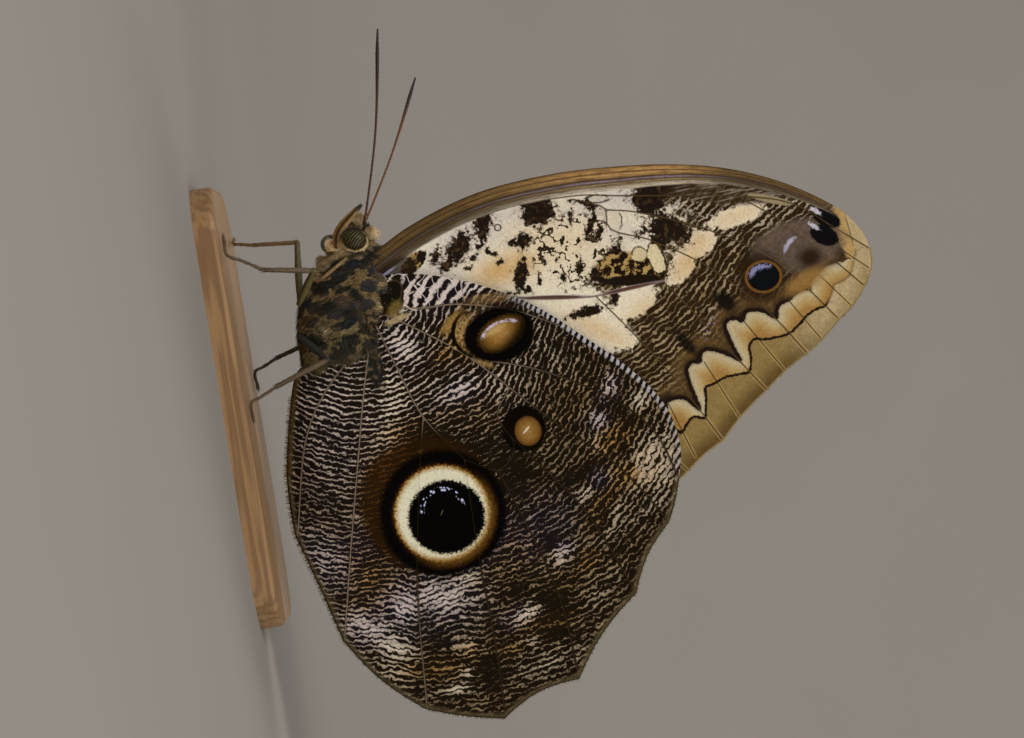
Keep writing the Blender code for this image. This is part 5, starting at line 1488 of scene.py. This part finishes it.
def add_limb(bm, path, radii, sides, flat=1.0, numbers=None):
    """Adds a rounded limb along a path: a ball whose rings are moved along it. Sizes in millimetres.

    Flat is the limb's thickness from side to side as a share of its height. Each point keeps how far it
    lies along the limb, and on which edge of it.
    """
    numbers = numbers or {}
    layers = bm.verts.layers.float
    kept = {name: layers.get(name) or layers.new(name) for name in ("along", "edge", *numbers)}
    rings = len(path) + 1
    before = set(bm.verts)
    bmesh.ops.create_uvsphere(bm, u_segments=sides, v_segments=rings, radius=1.0)
    lengths = [0.0]
    for a, b in zip(path, path[1:]):
        lengths.append(lengths[-1] + (b - a).length)
    fresh = [vertex for vertex in bm.verts if vertex not in before]
    for vertex in fresh:
        ring = round(math.acos(max(-1.0, min(1.0, vertex.co.z))) / math.pi * rings)
        spot = min(max(ring - 1, 0), len(path) - 1)
        heading = (path[min(spot + 1, len(path) - 1)] - path[max(spot - 1, 0)]).normalized()
        side = sideways(heading)
        edge = heading.cross(side)
        turn = math.atan2(vertex.co.y, vertex.co.x)
        radius = radii[spot] if 0 < ring < rings else 0.0
        tip = heading * radii[spot] * 0.5 * (1 if ring == rings else -1 if ring == 0 else 0)
        vertex.co = (path[spot] + tip + (edge * math.cos(turn) + side * flat * math.sin(turn)) * radius) * MM
        for name, value in {"along": lengths[spot], "edge": math.cos(turn), **numbers}.items():
            vertex[kept[name]] = value
    faces = {face for vertex in fresh for face in vertex.link_faces}
    bmesh.ops.recalc_face_normals(bm, faces=list(faces))


def size_along(sizes, share):
    place = share * (len(sizes) - 1)
    row = min(int(place), len(sizes) - 2)
    return sizes[row] + (sizes[row + 1] - sizes[row]) * (place - row)


def taper(count, *sizes):
    return [size_along(sizes, i / (count - 1)) for i in range(count)]


def mirrored(point, sign):
    return Vector((point[0], sign * point[1], point[2]))


def leg_look(numbers):
    return dict(zip(("dark", "pale", "olive"), numbers))


def make_leg(name, sign, joints, looks, finish, claws):
    """Thigh, shin with two spurs, and a foot of five pads on the base. Gives their paths for the hair."""
    hip, knee, ankle, toe = (mirrored(point, sign) for point in joints)
    thigh_look, numbers, thick = leg_look(looks[0]), leg_look(looks[1]), looks[2]
    bm = bmesh.new()
    thigh = (knee - hip).normalized()
    shin = (ankle - knee).normalized()
    femur = smooth_path([hip, knee + thigh * 0.1], 16)
    add_limb(bm, femur, taper(16, 0.32, 0.48, 0.54, 0.52, 0.42, 0.32), 14, numbers=thigh_look)
    tibia = smooth_path([knee - shin * 0.2 - thigh * 0.1, ankle], 16)
    shape = [thick * radius for radius in (0.24, 0.33, 0.31, 0.28, 0.25, 0.22)]
    add_limb(bm, tibia, taper(16, *shape), 12, numbers=numbers)
    for turn in (-1, 1):
        spur = [ankle - shin * 0.3, ankle + shin * 0.25 + Vector((0.1, 0.3 * turn, 0.0)),
                ankle + shin * 0.75 + Vector((0.15, 0.42 * turn, 0.0))]
        add_limb(bm, smooth_path(spur, 5), taper(5, 0.09, 0.08, 0.02), 6, numbers=numbers)
    ground = SOLE_HEIGHT + FOOT_RADIUS
    heading = Vector((toe.x - ankle.x, toe.y - ankle.y, 0.0)).normalized()
    landing = Vector((toe.x, toe.y, ground))
    end = landing + heading * TOE_RUN
    count = 6 * FOOT_PADS + 1
    foot = smooth_path([ankle + shin * 0.05, ankle.lerp(landing, 0.6), landing, end], count)
    radii = [FOOT_RADIUS * (0.84 + 0.16 * math.cos(math.tau * i / 6 + 2.2)) for i in range(count)]
    add_limb(bm, foot, radii, 10, numbers=numbers)
    for turn in (-1, 1):
        side = heading.cross(Vector((0.0, 0.0, turn))) * 0.22
        claw = [end + side * 0.4, end + side + heading * 0.3 + Vector((0, 0, 0.02)),
                end + side * 1.3 + heading * 0.5 - Vector((0, 0, 0.12))]
        add_limb(claws, smooth_path(claw, 6), taper(6, 0.08, 0.06, 0.015), 6)
    piece = new_piece(name, bm, finish)
    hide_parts(*[name + part for part in ("_femur", "_tibia", "_tarsus")])
    return [(femur, 0.44, 260, thigh_look), (tibia, 0.28 * thick, 420, numbers), (foot, 0.22, 220, numbers)]


def limb_place(path, rng):
    """A random place on a limb: its share of the length, its step, heading and way across, and its turn."""
    share = rng.random()
    spot = min(int(share * (len(path) - 1)), len(path) - 2)
    heading = (path[spot + 1] - path[spot]).normalized()
    return share, spot, heading, sideways(heading), rng.random() * math.tau


def hair_on_limbs(limbs, rng, place, length):
    """Short flat hair along limbs: a limb is its path, its radius, how many tufts it carries and its look."""
    tufts = []
    for row, (path, radius, count, numbers) in enumerate(limbs):
        for _ in range(count):
            share, spot, heading, side, turn = limb_place(path, rng)
            out = side * math.cos(turn) + heading.cross(side) * math.sin(turn)
            root = path[spot].lerp(path[spot + 1], share * (len(path) - 1) - spot) + out * radius * 0.85
            tufts.append([root, heading, out, length * rng.uniform(0.7, 1.3), 0.07, rng.uniform(0.1, 0.5),
                          (place + 0.02 * row + 0.006 * turn / math.tau, uv_share(share)),
                          {**numbers, "tone": rng.uniform(0.7, 1.3)}])
    return tufts


def make_legs(finish):
    claws = bmesh.new()
    hair = []
    rng = random.Random(21)
    for row, (name, joints) in enumerate(LEGS.items()):
        sign = -1 if name.endswith("left") else 1
        limbs = make_leg(name, sign, joints, LEG_LOOKS[name], finish, claws)
        hair += hair_on_limbs(limbs, rng, 0.1 + 0.1 * row, 0.55)
    for row, (side, sign) in enumerate(SIDES):
        path = smooth_path([mirrored(point, sign) for point in FORELEG], 14)
        bm = bmesh.new()
        add_limb(bm, path, taper(14, 0.14, 0.22, 0.24, 0.24, 0.2), 12, numbers=leg_look(FORELEG_LOOK))
        piece = new_piece("foreleg_" + side, bm, finish)
        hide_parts("foreleg_" + side)
        hair += hair_on_limbs([(path, 0.2, 200, leg_look(FORELEG_LOOK))], rng, 0.6 + 0.1 * row, 0.6)
    grow_coat("leg_hair", hair, finish)
    new_piece("claws", claws, horn_finish())


def make_feelers():
    """Ringed antennae with slender clubs, scaled palps before the face, and the coiled tongue."""
    finish = antenna_finish()
    for side, sign in SIDES:
        root = mirrored(ANTENNA_ROOT, sign) + Vector((0.5, 0.0, ANTENNA_SET[side]))
        tip = mirrored(ANTENNA_TIPS[side], sign)
        middle = root.lerp(tip, 0.5) + Vector((0.0, 0.0, ANTENNA_BOW[side]))
        path = smooth_path([root, middle, tip], ANTENNA_RINGS)
        radii = taper(ANTENNA_RINGS, 0.26, 0.17, 0.16, 0.16, 0.16, 0.17, 0.2, 0.25, 0.27, 0.12)
        radii = [radius * (1.0 + 0.08 * math.sin(math.tau * i / 4)) for i, radius in enumerate(radii)]
        bm = bmesh.new()
        add_limb(bm, path, radii, 8, numbers={"far": 1.0 if sign > 0 else 0.0})
        piece = new_piece("antenna_" + side, bm, finish)
        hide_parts("antenna_" + side)
    hair = []
    rng = random.Random(31)
    palp_look = palp_finish()
    for row, (side, sign) in enumerate(SIDES):
        path = smooth_path([mirrored(point, sign) for point in PALP], PALP_RINGS)
        bm = bmesh.new()
        add_limb(bm, path, taper(PALP_RINGS, *PALP_RADII), 20, flat=PALP_FLAT)
        piece = new_piece("palp_" + side, bm, palp_look)
        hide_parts("palp_" + side)
        for _ in range(PALP_TUFTS):
            share, spot, heading, across, turn = limb_place(path, rng)
            edge = heading.cross(across)
            out = (edge * math.cos(turn) + across * math.sin(turn)).normalized()
            radius = size_along(PALP_RADII, share) * 0.95
            root = path[spot] + (edge * math.cos(turn) + across * PALP_FLAT * math.sin(turn)) * radius
            hair.append([root, heading, out, rng.uniform(0.4, 0.7), 0.08, rng.uniform(0.1, 0.4),
                         (0.1 + 0.4 * row + 0.3 * turn / math.tau, uv_share(share)),
                         {"edge": math.cos(turn), "along": share * 7.0, "tone": rng.uniform(0.8, 1.2)}])
    grow_coat("palp_scales", hair, palp_look)
    coil = []
    for i in range(COIL_RINGS):
        turn = COIL_TURNS * i / (COIL_RINGS - 1)
        radius = 1.12 - 0.5 * max(turn - 0.6, 0.0)
        angle = math.radians(20.0) + math.tau * turn
        coil.append(Vector((PROBOSCIS_CENTRE[0] + radius * math.cos(angle), 0.0,
                            PROBOSCIS_CENTRE[1] + radius * math.sin(angle))))
    bm = bmesh.new()
    add_limb(bm, coil, taper(COIL_RINGS, 0.3, 0.29, 0.2), 10)
    piece = new_piece("proboscis", bm, horn_finish())
    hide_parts("proboscis")


def make_eyes():
    finish = eye_finish()
    lean = math.radians(EYE_LEAN)
    for side, sign in SIDES:
        bm = bmesh.new()
        bmesh.ops.create_uvsphere(bm, u_segments=48, v_segments=32, radius=1.0)
        for vertex in bm.verts:
            x, y, z = (part * radius for part, radius in zip(vertex.co, EYE_RADII))
            x, z = x * math.cos(lean) - z * math.sin(lean), x * math.sin(lean) + z * math.cos(lean)
            vertex.co = Vector((EYE_CENTRE[0] + x, sign * EYE_CENTRE[1] + y, EYE_CENTRE[2] + z)) * MM
        piece = new_piece("eye_" + side, bm, finish)
        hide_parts("eye_" + side)


def downy_finish(name, deep, light, dusky):
    """Soft scaled hair: matt, dark islands in a net of olive tan, each tuft lighter at its tip."""
    material, place = new_finish(name, 0.85, 0.1)
    dark, rust, pale, blue = (mark(place, mark_name) for mark_name in ("dark", "rust", "pale", "blue"))
    colour = blend(step_up(grain(place, 1.0, 3.0), 0.35, 0.65), deep, light)
    x, _, z = add("SeparateXYZ", {0: place}).node.outputs
    belly = together(step_up(z, 14.5, 12.5), step_up(x, -11.0, -7.0))
    grey = together(step_up(x, -12.5, -9.5), step_up(z, 20.5, 18.0))
    colour = blend(together(grey, 0.75), colour, "504b38")
    colour = blend(together(belly, 0.7), colour, "544c28")

    # Islands as wide as they are in the net, longer along the hair, some of them blue black
    laid = add("Mapping", {"Vector": place, "Rotation": (0.0, -0.33, 0.0), "Scale": (1.0, 0.8, 0.6)})
    isle = add("TexVoronoi", {"Vector": laid, "Scale": 1 / 1.55})
    isle = calc("MULTIPLY_ADD", grain(place, 0.7, 3.0, 0.6), 0.8, calc("SUBTRACT", isle, 0.4))
    kind = add("RGBToBW", {0: add("TexVoronoi", {"Vector": laid, "Scale": 1 / 1.55}, out=1)})
    zone = together(step_up(x, -19.2, -17.8), step_up(x, -2.0, -6.0))
    net = step_up(away(isle, 0.7), 0.14, 0.04)
    colour = blend(together(net, zone, 0.5), colour, "9f8a62")
    isle = together(step_up(isle, 0.6, 0.52), zone)
    isle_colour = blend(step_up(kind, 0.6, 0.68), dusky, "2d3540")
    colour = blend(together(isle, 0.85), colour, isle_colour)
    colour = blend(together(rust, 0.5, clamp=True), colour, "8a693f")
    colour = blend(together(pale, 0.9, clamp=True), colour, "dec79c")
    ragged = calc("MULTIPLY_ADD", grain(place, 0.8, 2.0), 0.7, -0.35)
    colour = blend(step_up(calc("ADD", dark, ragged), 0.42, 0.62), colour, dusky)
    # Blue black where the blue mark lies: partly the hair's own colour, partly a painted blue glint
    colour = blend(together(blue, 0.5, clamp=True), colour, "37424f")
    value = together(mark(place, "tone"), calc("MULTIPLY_ADD", mark(place, "tip"), 0.5, 0.75))
    value = together(value, calc("MULTIPLY_ADD", pale, 0.3, 1.0))
    colour = add("HueSaturation", {"Value": value, "Color": colour})
    return painted(material, colour)


def leg_finish():
    """Thin scaled shell: satin tan to dark brown with fine speckles, and an olive tint painted lighter on one
    edge and darker in shade on the other.
    """
    material, place = new_finish("scaled_leg_shell", 0.55, 0.4)
    dark, pale, olive = mark(place, "dark"), mark(place, "pale"), mark(place, "olive")
    colour = blend(grain(place, 0.5, 3.0), "5c4a34", "8c7456")
    colour = blend(dark, colour, "2a2f31")
    colour = blend(pale, colour, "b08d5c")
    # The olive tint is painted lighter along one edge of the leg and darker, as painted shade, along the
    # other
    olive_lit_and_shaded = blend(step_up(mark(place, "edge"), -0.3, 0.6), "7d7746", "343a20")
    colour = blend(olive, colour, olive_lit_and_shaded)
    speck = step_up(grain(place, 0.3, 3.0), 0.56, 0.64)
    colour = blend(together(speck, 0.5), colour, "2a2016")
    tone = calc("MAXIMUM", mark(place, "tone"), 0.75)
    colour = add("HueSaturation", {"Value": tone, "Color": colour})
    return painted(material, colour, grain(place, 0.15), 0.4, 0.04)


def horn_finish():
    """Smooth dark horn with a soft shine, for the claws and the tongue."""
    material, place = new_finish("dark_horn", 0.35, 0.5)
    colour = blend(grain(place, 0.4), "35322a", "575042")
    return painted(material, colour)


def antenna_finish():
    """Ringed satin shell, chestnut with a dark line at each joint and a darker club."""
    material, place = new_finish("ringed_antenna_shell", 0.45, 0.45)
    along = mark(place, "along")
    ring = calc("SINE", together(along, math.tau / 0.62))
    colour = blend(mark(place, "far"), "4a2812", "6e4018")
    colour = blend(together(step_up(ring, 0.2, 0.9), 0.6), colour, "24120a")
    colour = blend(step_up(along, 3.0, 0.4), colour, "17100c")
    colour = blend(step_up(along, 18.0, 24.0), colour, "26130a")
    return painted(material, colour)


def palp_finish():
    """Close-lying scales: tan along the front edge, a dark streak, cream towards the eye."""
    material, place = new_finish("palp_scales", 0.75, 0.15)
    edge = calc("ADD", mark(place, "edge"), calc("MULTIPLY_ADD", grain(place, 0.4), 0.4, -0.2))
    edge = add("MapRange", {0: edge, 1: -1.0, 2: 1.0})
    colour = add("ValToRGB", {0: edge}, stops=[
        (0.0, "b79c70"), (0.3, "a08256"), (0.42, "6a5234"), (0.5, "34271a"), (0.66, "3a2a18"),
        (0.78, "8a6838"), (1.0, "a27c48")])
    colour = blend(step_up(mark(place, "along"), 5.4, 6.6), colour, "4a4136")
    tone = calc("MAXIMUM", mark(place, "tone"), 0.85)
    colour = add("HueSaturation", {"Value": tone, "Color": colour})
    return painted(material, colour)


def eye_finish():
    """Glossy compound eye, dark olive with fine paler curved stripes."""
    material, place = new_finish("striped_compound_eye", 0.42, 0.2)
    bend = spot_share(place, (-17.2, 23.4), (1.0, 1.0))[0]
    bend = calc("MULTIPLY_ADD", grain(place, 0.7, 3.0), 0.3, bend)
    stripe = calc("SINE", together(bend, math.tau / 0.36))
    stripe = calc("MULTIPLY_ADD", grain(place, 0.3), 0.8, stripe)
    colour = blend(step_up(stripe, 0.75, 1.3), "1c180c", "665a34")
    edge = spot_share(place, (EYE_CENTRE[0], EYE_CENTRE[2]), (1.5, 1.7))[0]
    colour = blend(step_up(edge, 0.65, 1.0), colour, "2e2a18")
    cells = add("TexVoronoi", {"Vector": place, "Scale": 1 / 0.06})
    return painted(material, colour, cells, 0.15, 0.01)


def wood_finish():
    """Oiled pale wood: satin, with long fine grain along the plate."""
    material, place = new_finish("oiled_base_wood", 0.5, 0.4)
    long_way = add("Mapping", {"Vector": place, "Scale": (0.06, 1.0, 1.0)})
    rings = calc("SINE", together(grain(long_way, 3.5, 3.0), 42.0))
    colour = blend(step_up(rings, -0.9, 1.0), "8a6a48", "a8855c")
    colour = blend(together(grain(long_way, 0.35, 3.0), 0.5), colour, "6f5236")
    return painted(material, colour, grain(long_way, 0.35, 3.0), 0.3, 0.05)


def make_body():
    downy = downy_finish("downy_body_hair", "5e5038", "9c8660", "2e2e29")
    make_skin(downy)
    make_coats(downy)
    make_eyes()
    make_feelers()
    make_legs(leg_finish())
    for slot in bpy.data.objects["stand_base"].material_slots:
        slot.material = wood_finish()


SKIN_RINGS = smooth_path(SKIN, 97)

make_camera()
make_studio()
make_wings()
make_fringes()
make_body()
